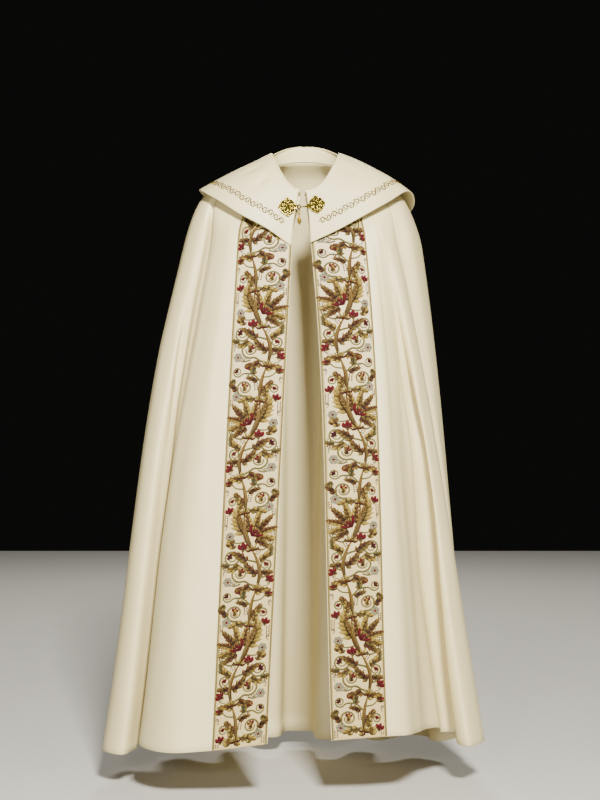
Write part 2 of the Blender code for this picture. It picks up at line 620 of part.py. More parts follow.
def add_pendant():
    """The fixed loop, and the ring and drop that swing on the loop's lowest wire."""
    eye_x, eye_y, eye_z = EYE_CENTRE
    loop_x = eye_x + LOOP_OFFSET[0]
    loop_y = eye_y + LOOP_OFFSET[1]
    loop_z = eye_z - EYE_RADIUS + LOOP_OFFSET[2]
    add_torus("pendant_loop", (loop_x, loop_y, loop_z), "X", LOOP_RADIUS, LOOP_WIRE)
    pivot = bpy.data.objects.new("pendant_pivot", None)
    pivot.location = (loop_x, loop_y, loop_z - LOOP_RADIUS)
    bpy.context.scene.collection.objects.link(pivot)
    ring_drop = PENDANT_RING_RADIUS - PENDANT_RING_WIRE - LOOP_WIRE - RING_PLAY
    ring = add_torus("pendant_ring", (0, 0, -ring_drop), "Y", PENDANT_RING_RADIUS, PENDANT_RING_WIRE)
    ring.parent = pivot

    top = -ring_drop - PENDANT_RING_RADIUS - PENDANT_RING_WIRE - SEAM_GAP
    vertices = [(0, 0, top)]
    for row in DROP_PROFILE:
        for k in range(PENDANT_SIDES):
            angle = 2 * math.pi * k / PENDANT_SIDES
            x = row.radius * math.cos(angle)
            y = row.radius * math.sin(angle) * PENDANT_THICKNESS
            vertices.append((x, y, top - row.below))
    vertices.append((0, 0, top - DROP_PROFILE[-1].below))
    faces = []
    for k in range(PENDANT_SIDES):
        after = (k + 1) % PENDANT_SIDES
        faces.append((0, 1 + k, 1 + after))
        for row in range(len(DROP_PROFILE) - 1):
            high = 1 + row * PENDANT_SIDES
            low = high + PENDANT_SIDES
            faces.append((high + k, low + k, low + after, high + after))
        lowest = 1 + (len(DROP_PROFILE) - 1) * PENDANT_SIDES
        faces.append((len(vertices) - 1, lowest + after, lowest + k))
    drop = add_mesh("pendant_drop", vertices, faces, CAST_GOLD)
    drop.parent = pivot


def main():
    """Clear the scene and make every piece of the cope."""
    for old in list(bpy.data.objects):
        bpy.data.objects.remove(old, do_unlink=True)
    add_body()
    collar = collar_surface(COLLAR_COLUMNS, COLLAR_ROWS)
    add_wall("collar", collar, outward_normals(collar), COLLAR_WALL, IVORY)
    for side in ("left", "right"):
        add_band(side)
    add_plate(LEFT_PLATE)
    add_plate(RIGHT_PLATE)
    add_eye()
    add_hook()
    add_pendant()


main()
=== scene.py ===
"""The looks of a worn cope: an open cloak of ivory cloth with a wide cape collar, two embroidered
front bands edged in plaited gold, and a two-plate filigree clasp with a hanging pendant.

Metres. +X is to the right of someone who faces the cope, +Y towards its back, +Z up.
The origin is the middle of the neck, level with the tops of the shoulders.
"""

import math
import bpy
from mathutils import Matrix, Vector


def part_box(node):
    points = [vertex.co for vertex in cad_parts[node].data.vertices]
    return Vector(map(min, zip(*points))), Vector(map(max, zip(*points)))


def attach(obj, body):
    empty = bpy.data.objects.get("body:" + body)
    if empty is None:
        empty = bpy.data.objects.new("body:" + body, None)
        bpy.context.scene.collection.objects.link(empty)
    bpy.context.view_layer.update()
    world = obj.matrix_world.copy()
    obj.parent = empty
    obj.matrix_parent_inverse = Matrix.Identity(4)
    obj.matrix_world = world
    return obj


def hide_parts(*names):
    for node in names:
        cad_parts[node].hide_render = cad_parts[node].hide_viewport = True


bl_info = {
    "name": "Embroidered cope",
    "version": (1, 0, 0),
    "blender": (4, 5, 0),
    "location": "3D View > Sidebar > Cope",
    "description": "Makes the cloth, embroidery, braids and clasp of a worn cope",
    "category": "Object",
}

from collections import namedtuple

import bpy
import numpy as np
from mathutils import Vector

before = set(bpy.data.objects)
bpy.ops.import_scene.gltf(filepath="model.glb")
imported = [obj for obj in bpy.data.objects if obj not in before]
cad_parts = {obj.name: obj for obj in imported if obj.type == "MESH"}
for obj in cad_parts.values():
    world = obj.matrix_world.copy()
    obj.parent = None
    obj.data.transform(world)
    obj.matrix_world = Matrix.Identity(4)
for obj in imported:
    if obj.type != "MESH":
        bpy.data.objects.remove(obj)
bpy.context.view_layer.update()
BODY = "cope"
SWINGING_BODY = "pendant"

# Walls, trims and gaps
CLOTH_WALL = 0.0020
COLLAR_WALL = 0.0030
BAND_WALL = 0.0012
BRAID_WALL = 0.0018
SEAM_GAP = 0.0003
BAND_WIDTH = 0.128          # front band with both of its braids
BRAID_WIDTH = 0.006

# Heights down the cloth, as shares of the way from neckline to hem
NECKLINE_ROW = 0.0
MID_SHOULDER_ROW = 0.045
SHOULDER_ROW = 0.10
CHEST_ROW = 0.17
BAND_TOP_ROW = MID_SHOULDER_ROW     # where the front bands start
PROBE_ACROSS = 0.001        # small steps that find the cloth's slope
PROBE_DOWN = 0.002
DENSE_POINTS = 1201         # points along a curve whose length is measured

# Rings of the cloth over the shoulders. left and right are half widths; the edge columns
# give where the two front edges cross the ring; squareness is a superellipse's exponent.
Ring = namedtuple(
    "Ring", "row left right front back front_z side_z back_z squareness left_edge right_edge")
SHOULDER_RINGS = (
    Ring(NECKLINE_ROW, 0.076, 0.078, -0.095, 0.072, -0.089, -0.004, 0.014, 2.2, -0.0120, 0.0005),
    Ring(MID_SHOULDER_ROW, 0.150, 0.150, -0.102, 0.116, -0.122, -0.029, -0.024, 2.2, -0.0165, 0.0050),
    Ring(SHOULDER_ROW, 0.240, 0.229, -0.110, 0.148, -0.158, -0.070, -0.108, 2.4, -0.0250, 0.0095),
)
CHEST_Z = -0.200

# Folds of the front and sides, from each front edge outwards: where the fold's line crosses
# chest height, and where it ends at the hem.
Fold = namedtuple("Fold", "name chest_x chest_y hem_x hem_y hem_z")
LEFT_FOLDS = (
    Fold("front edge", -0.0305, -0.1140, -0.0870, -0.2400, -1.352),
    Fold("band edge", -0.1590, -0.1165, -0.2140, -0.2360, -1.368),
    Fold("panel", -0.1950, -0.1035, -0.3150, -0.2200, -1.376),
    Fold("panel shoulder", -0.2130, -0.0890, -0.3700, -0.1690, -1.377),
    Fold("panel roll", -0.2220, -0.0750, -0.3930, -0.1050, -1.378),
    Fold("roll back", -0.2255, -0.0650, -0.3820, -0.0450, -1.388),
    Fold("tuck", -0.2330, -0.0580, -0.3860, -0.0050, -1.398),
    Fold("flute inside", -0.2460, -0.0570, -0.4060, -0.0400, -1.405),
    Fold("flute front", -0.2640, -0.0500, -0.4350, -0.0880, -1.408),
    Fold("flute outside", -0.2850, -0.0260, -0.4740, -0.0560, -1.408),
    Fold("left side", -0.2940, 0.0100, -0.4880, 0.0050, -1.409),
)
RIGHT_FOLDS = (
    Fold("front edge", 0.0145, -0.1140, 0.0600, -0.2400, -1.344),
    Fold("band edge", 0.1430, -0.1175, 0.1870, -0.2360, -1.335),
    Fold("panel", 0.1570, -0.1165, 0.2330, -0.2180, -1.336),
    Fold("panel turn", 0.1650, -0.1150, 0.2620, -0.1620, -1.340),
    Fold("valley", 0.1740, -0.1130, 0.2900, -0.0900, -1.346),
    Fold("valley floor", 0.1820, -0.1100, 0.3260, -0.0420, -1.354),
    Fold("valley end", 0.1880, -0.1075, 0.3500, -0.0100, -1.376),
    Fold("flute inside", 0.1930, -0.1045, 0.3690, -0.0480, -1.383),
    Fold("flute front", 0.2020, -0.0985, 0.3880, -0.0970, -1.386),
    Fold("flute outside", 0.2130, -0.0870, 0.4200, -0.0600, -1.386),
    Fold("flute back", 0.2190, -0.0740, 0.4290, -0.0050, -1.388),
    Fold("side tuck", 0.2240, -0.0600, 0.3980, 0.0420, -1.392),
    Fold("side ridge", 0.2600, -0.0400, 0.4080, 0.0950, -1.400),
    Fold("right side", 0.2825, 0.0150, 0.4130, 0.1350, -1.406),
)

# Flutes of the back, from the left side to the right: bearing about the middle of the hem
# (0 straight ahead, 90 left, 180 back, 270 right), half the width of its rounded crest or
# floor in degrees, how far out it reaches at the hem, and how far it stands off the smooth
# chest ring.
Flute = namedtuple("Flute", "name bearing half_width reach chest_lift hem_z")
BACK_FLUTES = (
    Flute("left valley", 101.0, 1.6, 0.392, -0.003, -1.412),
    Flute("ridge 1", 112.5, 2.6, 0.468, 0.004, -1.418),
    Flute("valley 1", 123.0, 1.5, 0.366, -0.003, -1.424),
    Flute("ridge 2", 134.5, 3.2, 0.452, 0.004, -1.430),
    Flute("valley 2", 145.5, 1.8, 0.342, -0.004, -1.436),
    Flute("ridge 3", 157.0, 2.8, 0.436, 0.005, -1.443),
    Flute("valley 3", 168.0, 1.6, 0.322, -0.003, -1.447),
    Flute("ridge 4", 180.5, 3.6, 0.416, 0.004, -1.450),
    Flute("valley 4", 193.5, 2.0, 0.310, -0.004, -1.450),
    Flute("ridge 5", 204.5, 2.6, 0.428, 0.005, -1.448),
    Flute("valley 5", 215.0, 1.5, 0.336, -0.003, -1.446),
    Flute("ridge 6", 229.0, 6.0, 0.446, 0.003, -1.442),
    Flute("right valley", 244.5, 1.6, 0.378, -0.003, -1.424),
)
HEM_CENTRE = (-0.020, 0.0)
CHEST_RING = Ring(
    CHEST_ROW, 0.300, 0.286, -0.119, 0.178, CHEST_Z, CHEST_Z, CHEST_Z, 2.3, -0.0305, 0.0145)

# The wearer's bent arms push the cloth sideways a third of the way down
LEFT_ELBOW = 0.021
RIGHT_ELBOW = 0.010
LEFT_ELBOW_WIDTH = 0.33     # half width at which the left push is whole
RIGHT_ELBOW_WIDTH = 0.02
ELBOW_FADE = (0.05, 0.25)   # the push dies out between these depths
ELBOW_SWELL = 6.75          # makes the curve t(1-t)^2 reach 1 at its top

# Cape collar: the roll round the neck, the stand inside it and the outer edge
ROLL_RADIUS = 0.0045
ROLL_STEPS = 14
STAND_LIFT = 0.0030         # stand's foot above the cut edge of the neckline
NECK_ROLL = Ring(0.0, 0.0800, 0.0830, -0.1090, 0.0860, -0.0730, 0.0250, 0.0560, 2.3, -0.0125, 0.0005)
COLLAR_SEARCH = (401, 60)   # fine grid on which a place on the collar is looked up
CollarEdge = namedtuple("CollarEdge", "name x y z arch")
COLLAR_EDGE = (
    CollarEdge("left point", -0.0330, -0.1220, -0.2040, 0.002),
    CollarEdge("left breast", -0.0900, -0.1270, -0.1640, 0.006),
    CollarEdge("left front", -0.1510, -0.1210, -0.1310, 0.010),
    CollarEdge("left arm", -0.1990, -0.0990, -0.0990, 0.012),
    CollarEdge("left tip front", -0.2420, -0.0520, -0.0710, 0.006),
    CollarEdge("left tip", -0.2550, 0.0050, -0.0610, 0.003),
    CollarEdge("left rear", -0.2360, 0.0780, -0.0780, 0.010),
    CollarEdge("left blade", -0.1750, 0.1500, -0.1250, 0.020),
    CollarEdge("left back", -0.0900, 0.1880, -0.1650, 0.028),
    CollarEdge("centre back", 0.0050, 0.2000, -0.1800, 0.030),
    CollarEdge("right back", 0.1000, 0.1900, -0.1680, 0.028),
    CollarEdge("right blade", 0.1850, 0.1560, -0.1380, 0.020),
    CollarEdge("right rear", 0.2470, 0.0980, -0.1160, 0.022),
    CollarEdge("right curl", 0.2660, 0.0480, -0.0940, 0.017),
    CollarEdge("right tip", 0.2620, 0.0000, -0.0740, 0.012),
    CollarEdge("right tip front", 0.2450, -0.0450, -0.0680, 0.012),
    CollarEdge("right arm", 0.1980, -0.0970, -0.0980, 0.012),
    CollarEdge("right front", 0.1425, -0.1200, -0.1310, 0.010),
    CollarEdge("right breast", 0.0700, -0.1270, -0.1710, 0.006),
    CollarEdge("right point", 0.0135, -0.1220, -0.1970, 0.002),
)

# Clasp: lozenge plates on the collar's fronts, hook and eye between them, pendant below
PLATE_LIFT = 0.0013         # plate's back above the collar's face, so its flat back clears
PLATE_CORNER_POWER = 1.38   # 1 is a sharp lozenge, 2 a circle
PLATE_SCALLOP = 0.022       # depth of the eight lobes of a plate's edge
PLATE_LOBES = 8
PLATE_CORNERS = 4
Plate = namedtuple("Plate", "name x z half_diagonal turn")
LEFT_PLATE = Plate("clasp_plate_left", -0.0412, -0.1133, 0.0228, 2.0)
RIGHT_PLATE = Plate("clasp_plate_right", 0.0276, -0.1088, 0.0220, 10.0)
WIRE_RADIUS = 0.0009
EYE_CENTRE = (-0.0138, -0.1196, -0.1133)
EYE_RADIUS = 0.0040
EYE_TAIL = ((-0.0255, -0.1180, -0.1118), (-0.0205, -0.1184, -0.1112))
EYE_START_ANGLE = 150       # where the ring leaves its tail, and how far round it bends
EYE_TURN = 320
EYE_STEPS = 16
HOOK_BEND = 0.0021
HOOK_TAIL = ((0.0135, -0.1198, -0.1118), (0.0085, -0.1202, -0.1120))
HOOK_END_X = -0.0045
HOOK_STEPS = 8
PENDANT_THICKNESS = 0.2     # front to back, as a share of the width
DropRing = namedtuple("DropRing", "below radius")
DROP_PROFILE = (
    DropRing(0.0000, 0.0010),
    DropRing(0.0020, 0.0022),
    DropRing(0.0045, 0.0026),
    DropRing(0.0070, 0.0012),
    DropRing(0.0105, 0.0022),
    DropRing(0.0160, 0.0044),
    DropRing(0.0205, 0.0050),
    DropRing(0.0250, 0.0040),
    DropRing(0.0285, 0.0018),
    DropRing(0.0310, 0.0009),
)


def smooth_step(value, low, high):
    """0 below low, 1 above high, and a soft ramp between them."""
    share = np.clip((value - low) / (high - low), 0.0, 1.0)
    return share * share * (3.0 - 2.0 * share)


def spline(knots, values, at):
    """Smooth curve through values at unevenly spaced knots, read at the places asked for."""
    knots = np.asarray(knots, dtype=float)
    values = np.asarray(values, dtype=float)
    at = np.asarray(at, dtype=float)
    spread = (-1,) + (1,) * (values.ndim - 1)
    steps = np.diff(knots)
    slopes = np.diff(values, axis=0) / steps.reshape(spread)
    before = steps[:-1].reshape(spread)
    after = steps[1:].reshape(spread)
    tangents = np.empty_like(values)
    tangents[0] = slopes[0]
    tangents[-1] = slopes[-1]
    tangents[1:-1] = (after * slopes[:-1] + before * slopes[1:]) / (before + after)
    piece = np.clip(np.searchsorted(knots, at, side="right") - 1, 0, len(steps) - 1)
    t = ((at - knots[piece]) / steps[piece]).reshape(spread)
    span = steps[piece].reshape(spread)
    start = (1 + 2 * t) * (1 - t) ** 2 * values[piece] + t * (1 - t) ** 2 * span * tangents[piece]
    end = t * t * (3 - 2 * t) * values[piece + 1] + t * t * (t - 1) * span * tangents[piece + 1]
    return start + end


def run_length(points):
    """Distance along a row of points, starting at 0."""
    steps = np.linalg.norm(np.diff(points, axis=0), axis=1)
    return np.concatenate(([0.0], np.cumsum(steps)))


def read_rows(rows, places, at):
    """Rows of three numbers that are known at some places, read at others."""
    return np.stack([np.interp(at, places, rows[:, axis]) for axis in range(3)], axis=1)


def read_along(points, distances):
    """Points at the given distances along a row of points."""
    return read_rows(points, run_length(points), distances)


def ring_at(ring, bearing):
    """Point of a ring at a bearing: 0 front, a quarter turn left side, a half turn back."""
    power = 2 / ring.squareness
    sine = np.sin(bearing)
    cosine = np.cos(bearing)
    half_width = np.where(sine > 0, ring.left, ring.right)
    x = -np.sign(sine) * half_width * np.abs(sine) ** power
    middle = (ring.front + ring.back) / 2
    half_depth = (ring.back - ring.front) / 2
    y = middle - np.sign(cosine) * half_depth * np.abs(cosine) ** power
    towards_front = np.clip(cosine, 0, 1) ** 2
    towards_back = np.clip(-cosine, 0, 1) ** 2
    z = ring.side_z + (ring.front_z - ring.side_z) * towards_front
    z = z + (ring.back_z - ring.side_z) * towards_back
    return np.stack([x, y, z], axis=-1)


def ring_points(ring):
    """A ring as a dense row of points, from the left front edge round the back to the right."""
    start = math.asin((abs(ring.left_edge) / ring.left) ** (ring.squareness / 2))
    end = math.asin((abs(ring.right_edge) / ring.right) ** (ring.squareness / 2))
    return ring_at(ring, np.linspace(start, 2 * math.pi - end, DENSE_POINTS))


def fold_lines():
    """Where every fold's line crosses chest height and the hem, round the whole cope."""
    chest = [(f.chest_x, f.chest_y, CHEST_Z) for f in LEFT_FOLDS]
    hem = [(f.hem_x, f.hem_y, f.hem_z) for f in LEFT_FOLDS]
    for flute in BACK_FLUTES:
        for edge in (-flute.half_width, flute.half_width):
            bearing = math.radians(flute.bearing + edge)
            outwards = np.array([-math.sin(bearing), -math.cos(bearing), 0.0])
            chest.append(ring_at(CHEST_RING, bearing) + flute.chest_lift * outwards)
            foot = outwards * flute.reach
            hem.append((HEM_CENTRE[0] + foot[0], HEM_CENTRE[1] + foot[1], flute.hem_z))
    for fold in reversed(RIGHT_FOLDS):
        chest.append((fold.chest_x, fold.chest_y, CHEST_Z))
        hem.append((fold.hem_x, fold.hem_y, fold.hem_z))
    return np.array(chest), np.array(hem)


def hem_width():
    """Length of the hem, straight from fold to fold: the measure used across the cloth."""
    return run_length(fold_lines()[1])[-1]


def cope_surface(across, down):
    """Middle of the cloth's wall: across is in metres from the left front edge, down is 0 to 1."""
    across = np.asarray(across, dtype=float)
    down = np.asarray(down, dtype=float)
    chest_folds, hem_folds = fold_lines()
    knots = run_length(hem_folds)
    chest = spline(knots, chest_folds, across)
    hem = spline(knots, hem_folds, across)

    # Over the shoulders the bands keep their width and the rest shares what is left
    dense = np.linspace(BAND_WIDTH, knots[-1] - BAND_WIDTH, DENSE_POINTS)
    chest_run = run_length(spline(knots, chest_folds, dense))
    share = np.interp(across, dense, chest_run / chest_run[-1])
    from_right = knots[-1] - across
    rings = []
    for ring in SHOULDER_RINGS:
        points = ring_points(ring)
        length = run_length(points)[-1]
        between = BAND_WIDTH + share * (length - 2 * BAND_WIDTH)
        distance = np.where(across < BAND_WIDTH, across, between)
        distance = np.where(from_right < BAND_WIDTH, length - from_right, distance)
        rings.append(read_along(points, distance))

    def below_chest(share_down):
        """Straight lines from chest to hem, with the elbows' push."""
        share_down = np.asarray(share_down).reshape(-1, 1)
        points = chest[None] + (hem - chest)[None] * share_down[..., None]
        swell = ELBOW_SWELL * share_down * (1 - share_down) ** 2
        left = np.clip(-points[..., 0] / LEFT_ELBOW_WIDTH, 0, 1) ** 3 * LEFT_ELBOW
        right = np.clip(points[..., 0] / RIGHT_ELBOW_WIDTH, 0, 1) * RIGHT_ELBOW
        in_front = 1 - smooth_step(points[..., 1], *ELBOW_FADE)
        points[..., 0] += swell * in_front * (right - left)
        return points

    row_knots = [ring.row for ring in SHOULDER_RINGS] + [CHEST_ROW, CHEST_ROW + PROBE_DOWN]
    next_row = below_chest([PROBE_DOWN / (1 - CHEST_ROW)])[0]
    row_values = np.array(rings + [chest, next_row])
    upper = spline(row_knots, row_values, np.minimum(down, CHEST_ROW))
    lower = below_chest(np.clip((down - CHEST_ROW) / (1 - CHEST_ROW), 0, 1))
    chosen = np.where((down < CHEST_ROW)[:, None, None], upper, lower)
    return chosen.transpose(1, 0, 2)


def collar_surface(columns, rows):
    """Middle of the collar's wall, from the foot of the stand over the roll to the outer edge."""
    edge_points = np.array([(e.x, e.y, e.z) for e in COLLAR_EDGE])
    knots = run_length(edge_points)
    across = np.linspace(0, knots[-1], columns)
    edge = spline(knots, edge_points, across)
    arch = spline(knots, np.array([[e.arch] for e in COLLAR_EDGE]), across)
    share = run_length(edge) / run_length(edge)[-1]

    def on_ring(ring):
        points = ring_points(ring)
        return read_along(points, share * run_length(points)[-1])

    roll = on_ring(NECK_ROLL)
    foot = on_ring(SHOULDER_RINGS[0])
    along = np.gradient(roll, axis=0)
    along[:, 2] = 0
    outwards = np.stack([along[:, 1], -along[:, 0], np.zeros(columns)], axis=1)
    outwards /= np.linalg.norm(outwards, axis=1)[:, None]
    up = np.array([0.0, 0.0, 1.0])
    foot = foot + up * STAND_LIFT

    fall = edge - roll
    reach = np.linalg.norm(fall[:, :2], axis=1)
    arch_slope = np.arctan(4 * arch[:, 0] / np.linalg.norm(fall, axis=1))
    last_angle = math.pi / 2 - np.arctan2(-fall[:, 2], reach) + arch_slope
    centre = roll - up * ROLL_RADIUS
    grid = [foot]
    towards = fall * (1.0, 1.0, 0.0) / reach[:, None]
    for step in range(ROLL_STEPS + 1):
        angle = math.pi + (last_angle - math.pi) * step / ROLL_STEPS
        way = outwards + (towards - outwards) * smooth_step(step / ROLL_STEPS, 0.0, 1.0)
        way /= np.linalg.norm(way, axis=1)[:, None]
        turned = way * np.cos(angle)[:, None] + up * np.sin(angle)[:, None]
        grid.append(centre + turned * ROLL_RADIUS)
    start = grid[-1]
    slope = edge - start
    ahead = slope / np.linalg.norm(slope, axis=1)[:, None]
    beside = np.cross(ahead, up)
    beside /= np.linalg.norm(beside, axis=1)[:, None]
    lifted = np.cross(beside, ahead)
    for row in range(1, rows + 1):
        t = row / rows
        grid.append(start + slope * t + lifted * arch * 4 * t * (1 - t))
    return np.array(grid).transpose(1, 0, 2)


def outward_normals(grid):
    """Unit normals of a grid of points, facing the outside of the garment."""
    across = np.gradient(grid, axis=0)
    down = np.gradient(grid, axis=1)
    normals = np.cross(across, down)
    return normals / np.linalg.norm(normals, axis=2)[..., None]


def cope_grid(across, down):
    """Middle points of the cloth's wall and the unit normals there."""
    across = np.asarray(across, dtype=float)
    down = np.asarray(down, dtype=float)
    width = hem_width()
    left = cope_surface(np.clip(across - PROBE_ACROSS, 0, width), down)
    right = cope_surface(np.clip(across + PROBE_ACROSS, 0, width), down)
    above = cope_surface(across, np.clip(down - PROBE_DOWN, 0, 1))
    below = cope_surface(across, np.clip(down + PROBE_DOWN, 0, 1))
    normals = np.cross(right - left, below - above)
    normals /= np.linalg.norm(normals, axis=2)[..., None]
    return cope_surface(across, down), normals


def collar_spot(x, z):
    """Point and normal on the front of the collar's middle, nearest to a place seen from ahead."""
    grid = collar_surface(*COLLAR_SEARCH)
    normals = outward_normals(grid)
    skirt = slice(ROLL_STEPS + 1, None)
    points = grid[:, skirt].reshape(-1, 3)
    normals = normals[:, skirt].reshape(-1, 3)
    apart = np.hypot(points[:, 0] - x, points[:, 2] - z) + np.where(points[:, 1] > 0, 1.0, 0.0)
    nearest = np.argmin(apart)
    return points[nearest], normals[nearest]


def plate_outline(angle, half_diagonal):
    """Radius of the lobed lozenge at an angle from its right-hand corner."""
    corners = abs(math.cos(angle)) ** PLATE_CORNER_POWER + abs(math.sin(angle)) ** PLATE_CORNER_POWER
    lobes = (1 + PLATE_SCALLOP * math.cos(PLATE_LOBES * angle)) / (1 + PLATE_SCALLOP)
    return half_diagonal * corners ** (-1 / PLATE_CORNER_POWER) * lobes


# ---------------------------------------------------------------- values of the looks

SIDES = ("left", "right")
CLOAK_COLUMNS = 440
CLOAK_SHOULDER_ROWS = 18
CLOAK_FALL_ROWS = 48
HEM_TURN = 0.020            # share of the fall that is turned up at the hem
HEM_ROWS = (1.0, 0.96, 0.5, 0.0)    # rows of points in the turn, from its stitched edge down
HEM_STEP = 0.98             # rows lower than this share of the turn carry its second layer
HEM_EXTRA = 0.0008          # wall that the second layer adds
EDGE_ROUND = 0.45           # a sheet's rounded edge stands out by this share of its wall
FINE_COLLAR_COLUMNS = 320
FINE_COLLAR_ROWS = 62
ROLL_DEPTH = 0.045          # stand and roll, which take a third of the rows
BAND_ROWS = 280
SATIN_COLUMNS = 30
EMBROIDERY_COLUMNS = 65
BAND_LIFT = CLOTH_WALL / 2 + SEAM_GAP + BAND_WALL / 2
BRAID_PROBE = 0.0005        # half the strip on which a braid's line is read
STRANDS = 3
WRAP_PITCH = 0.0007         # gold wire is wrapped round the cord this closely
PLAIT_STEP = 0.0011         # points along a strand lie this close
PLAIT_PERIOD = 0.0085       # length in which a strand comes back to the same side
PLAIT_SWAY = 0.0014         # how far a strand moves to each side, and up and down
PLAIT_RISE = 0.00035
STRAND_HALF_WIDTH = 0.0010
STRAND_HALF_DEPTH = 0.00055
STRAND_SIDES = 4

SoftFold = namedtuple("SoftFold", "pitch depth phase drift wander")
SOFT_FOLDS = (
    SoftFold(0.183, 0.0012, 0.4, 0.9, 0.7),
    SoftFold(0.117, 0.0006, 2.1, 1.3, 1.1),
    SoftFold(0.071, 0.0003, 4.0, 1.7, 1.6),
)
HANG_FADE = (0.05, 0.45)    # the soft folds grow between these depths
CALM_EDGE = (0.10, 0.20)    # and between these distances from a front edge
CALM_SHARE = 0.25           # share of a soft fold that is left along the front edge

# Creases of the cloak. Each point: how far down the cloth, distance from the front edge of its
# side, depth, and width towards the front edge and towards the side
Crease = namedtuple("Crease", "name side points")
CREASES = (
    Crease("left overlap", "left", (
        (0.07, 0.560, 0.0, 0.014, 0.014), (0.10, 0.530, 0.010, 0.016, 0.020),
        (0.13, 0.478, 0.024, 0.018, 0.024), (0.19, 0.452, 0.046, 0.018, 0.030),
        (0.26, 0.448, 0.052, 0.018, 0.032), (0.36, 0.450, 0.052, 0.018, 0.030),
        (0.44, 0.458, 0.050, 0.018, 0.024), (0.54, 0.462, 0.046, 0.020, 0.017),
        (0.66, 0.470, 0.044, 0.020, 0.014), (0.82, 0.478, 0.040, 0.020, 0.013),
        (1.00, 0.486, 0.034, 0.020, 0.013))),
    Crease("left soft valley", "left", (
        (0.24, 0.560, 0.0, 0.020, 0.020), (0.29, 0.548, 0.006, 0.020, 0.020),
        (0.34, 0.536, 0.012, 0.020, 0.020), (0.40, 0.526, 0.008, 0.020, 0.020),
        (0.50, 0.516, 0.0, 0.020, 0.020))),
    Crease("right fold line", "right", (
        (0.07, 0.655, 0.0, 0.006, 0.006), (0.10, 0.660, 0.010, 0.006, 0.006),
        (0.16, 0.664, 0.014, 0.006, 0.006), (0.26, 0.667, 0.015, 0.006, 0.006),
        (0.31, 0.679, 0.015, 0.006, 0.006), (0.36, 0.689, 0.016, 0.006, 0.006),
        (0.43, 0.701, 0.018, 0.006, 0.007), (0.53, 0.724, 0.020, 0.006, 0.007),
        (0.60, 0.737, 0.020, 0.006, 0.007), (0.75, 0.745, 0.012, 0.006, 0.007),
        (1.00, 0.750, 0.006, 0.006, 0.007))),
    Crease("right panel valley", "right", (
        (0.24, 0.400, 0.0, 0.040, 0.040), (0.32, 0.406, 0.007, 0.040, 0.040),
        (0.38, 0.414, 0.015, 0.040, 0.040), (0.43, 0.428, 0.026, 0.036, 0.040),
        (0.50, 0.450, 0.032, 0.040, 0.044), (0.60, 0.446, 0.034, 0.048, 0.046),
        (0.72, 0.432, 0.032, 0.060, 0.044), (0.84, 0.430, 0.028, 0.052, 0.034),
        (1.00, 0.426, 0.024, 0.036, 0.022))),
    Crease("right flute wall", "right", (
        (0.50, 0.500, 0.0, 0.026, 0.026), (0.66, 0.495, -0.005, 0.026, 0.026),
        (0.84, 0.490, -0.010, 0.026, 0.026), (1.00, 0.485, -0.012, 0.026, 0.026))),
)
CREASE_STEP = 0.0022        # columns lie this close where a crease runs
CREASE_MARGIN = 0.018
CLOSEST = 0.6               # columns nearer than this share of a step are left out

# Creases of the collar: share of the way across, where they start and end down from the stand's
# foot, how far they lean, half their width, and depth
CollarCrease = namedtuple("CollarCrease", "name share start end lean half depth")
COLLAR_CREASES = (
    CollarCrease("behind the pendant", 0.000, 0.040, 0.300, 0.0, 0.050, 0.0034),
    CollarCrease("left of the neck", 0.170, 0.050, 0.150, -0.012, 0.010, 0.0028),
    CollarCrease("left breast", 0.112, 0.055, 0.130, -0.006, 0.009, 0.0022),
    CollarCrease("left shoulder", 0.240, 0.050, 0.170, 0.010, 0.016, 0.0020),
    CollarCrease("right of the neck", 0.840, 0.050, 0.140, 0.010, 0.012, 0.0014),
    CollarCrease("right shoulder", 0.775, 0.050, 0.160, -0.008, 0.016, 0.0016),
)
CREASE_START = (0.0, 0.25)  # shares of a collar crease's length over which it grows
CREASE_END = (0.35, 1.0)    # and dies out

Lamp = namedtuple("Lamp", "name x y z width height watts")
LAMPS = (
    Lamp("key", 0.55, -4.3, 1.8, 0.6, 0.6, 900.0),
    Lamp("fill", -0.9, -4.6, 0.0, 0.6, 0.6, 100.0),
    Lamp("back", 0.0, 4.4, 2.2, 1.2, 1.2, 150.0),
)
LAMP_TINT = (1.0, 0.975, 0.90)
LAMP_AIM = (0.0, 0.0, -0.7)
WORLD_LIGHT = 0.010
FLOOR_REACH = 6.0
CAMERA_LENS = 78.075        # in mm, like the sensor's height
CAMERA_SENSOR = 36.0
CAMERA_PLACE = (-0.012, -4.2, -0.543)
CAMERA_SHIFT = -0.0133

WAVE_PERIOD = math.pi / 10  # of a wave texture's bands at scale 1

# Needlework, in mm unless a comment says otherwise
MM = 0.001                  # in metres
STITCH_PITCH = 0.0011       # in metres; real satin stitches lie 0.4 mm apart, too fine to show
DOME = ((-1.0, 0.0), (-0.74, 0.66), (0.0, 1.0), (0.74, 0.66), (1.0, 0.0))
LOW_DOME = ((-1.0, 0.0), (0.0, 1.0), (1.0, 0.0))
LOW_HEIGHT = 0.75           # strokes up to this height take the low dome
FULLNESS = 0.6              # power that keeps a stroke high close to its narrow ends
NARROWEST = 0.3             # strokes narrower than this, half across, stay lower
EDGE_SHOWN = 0.6            # dark outline that shows round a petal or stem
EDGE_HEIGHT = 0.45
EDGE_BELOW = 0.2            # a petal's outline lies this much lower than the petal
SUNK = 0.10                 # the foot of a stitch goes this far into the cloth
PAINTED_FOOT_SHADE = 0.16          # painted shade: how much darker a stitch is at its foot, on both sides of its dome
STEM_STEP = 2.4             # points along a stem lie about this far apart
LEAF_STEPS = 24             # points along a leaf's rib
LOBE_SPACING = 11.5         # a leaf has a pair of lobes for each such length of rib
LEAF_BLADE = 0.40           # half width of the blade under the lobes, as a share of the leaf's
LOBES_FROM = 0.04           # where along the rib the lobes start, and the share that they take
LOBES_RUN = 0.72
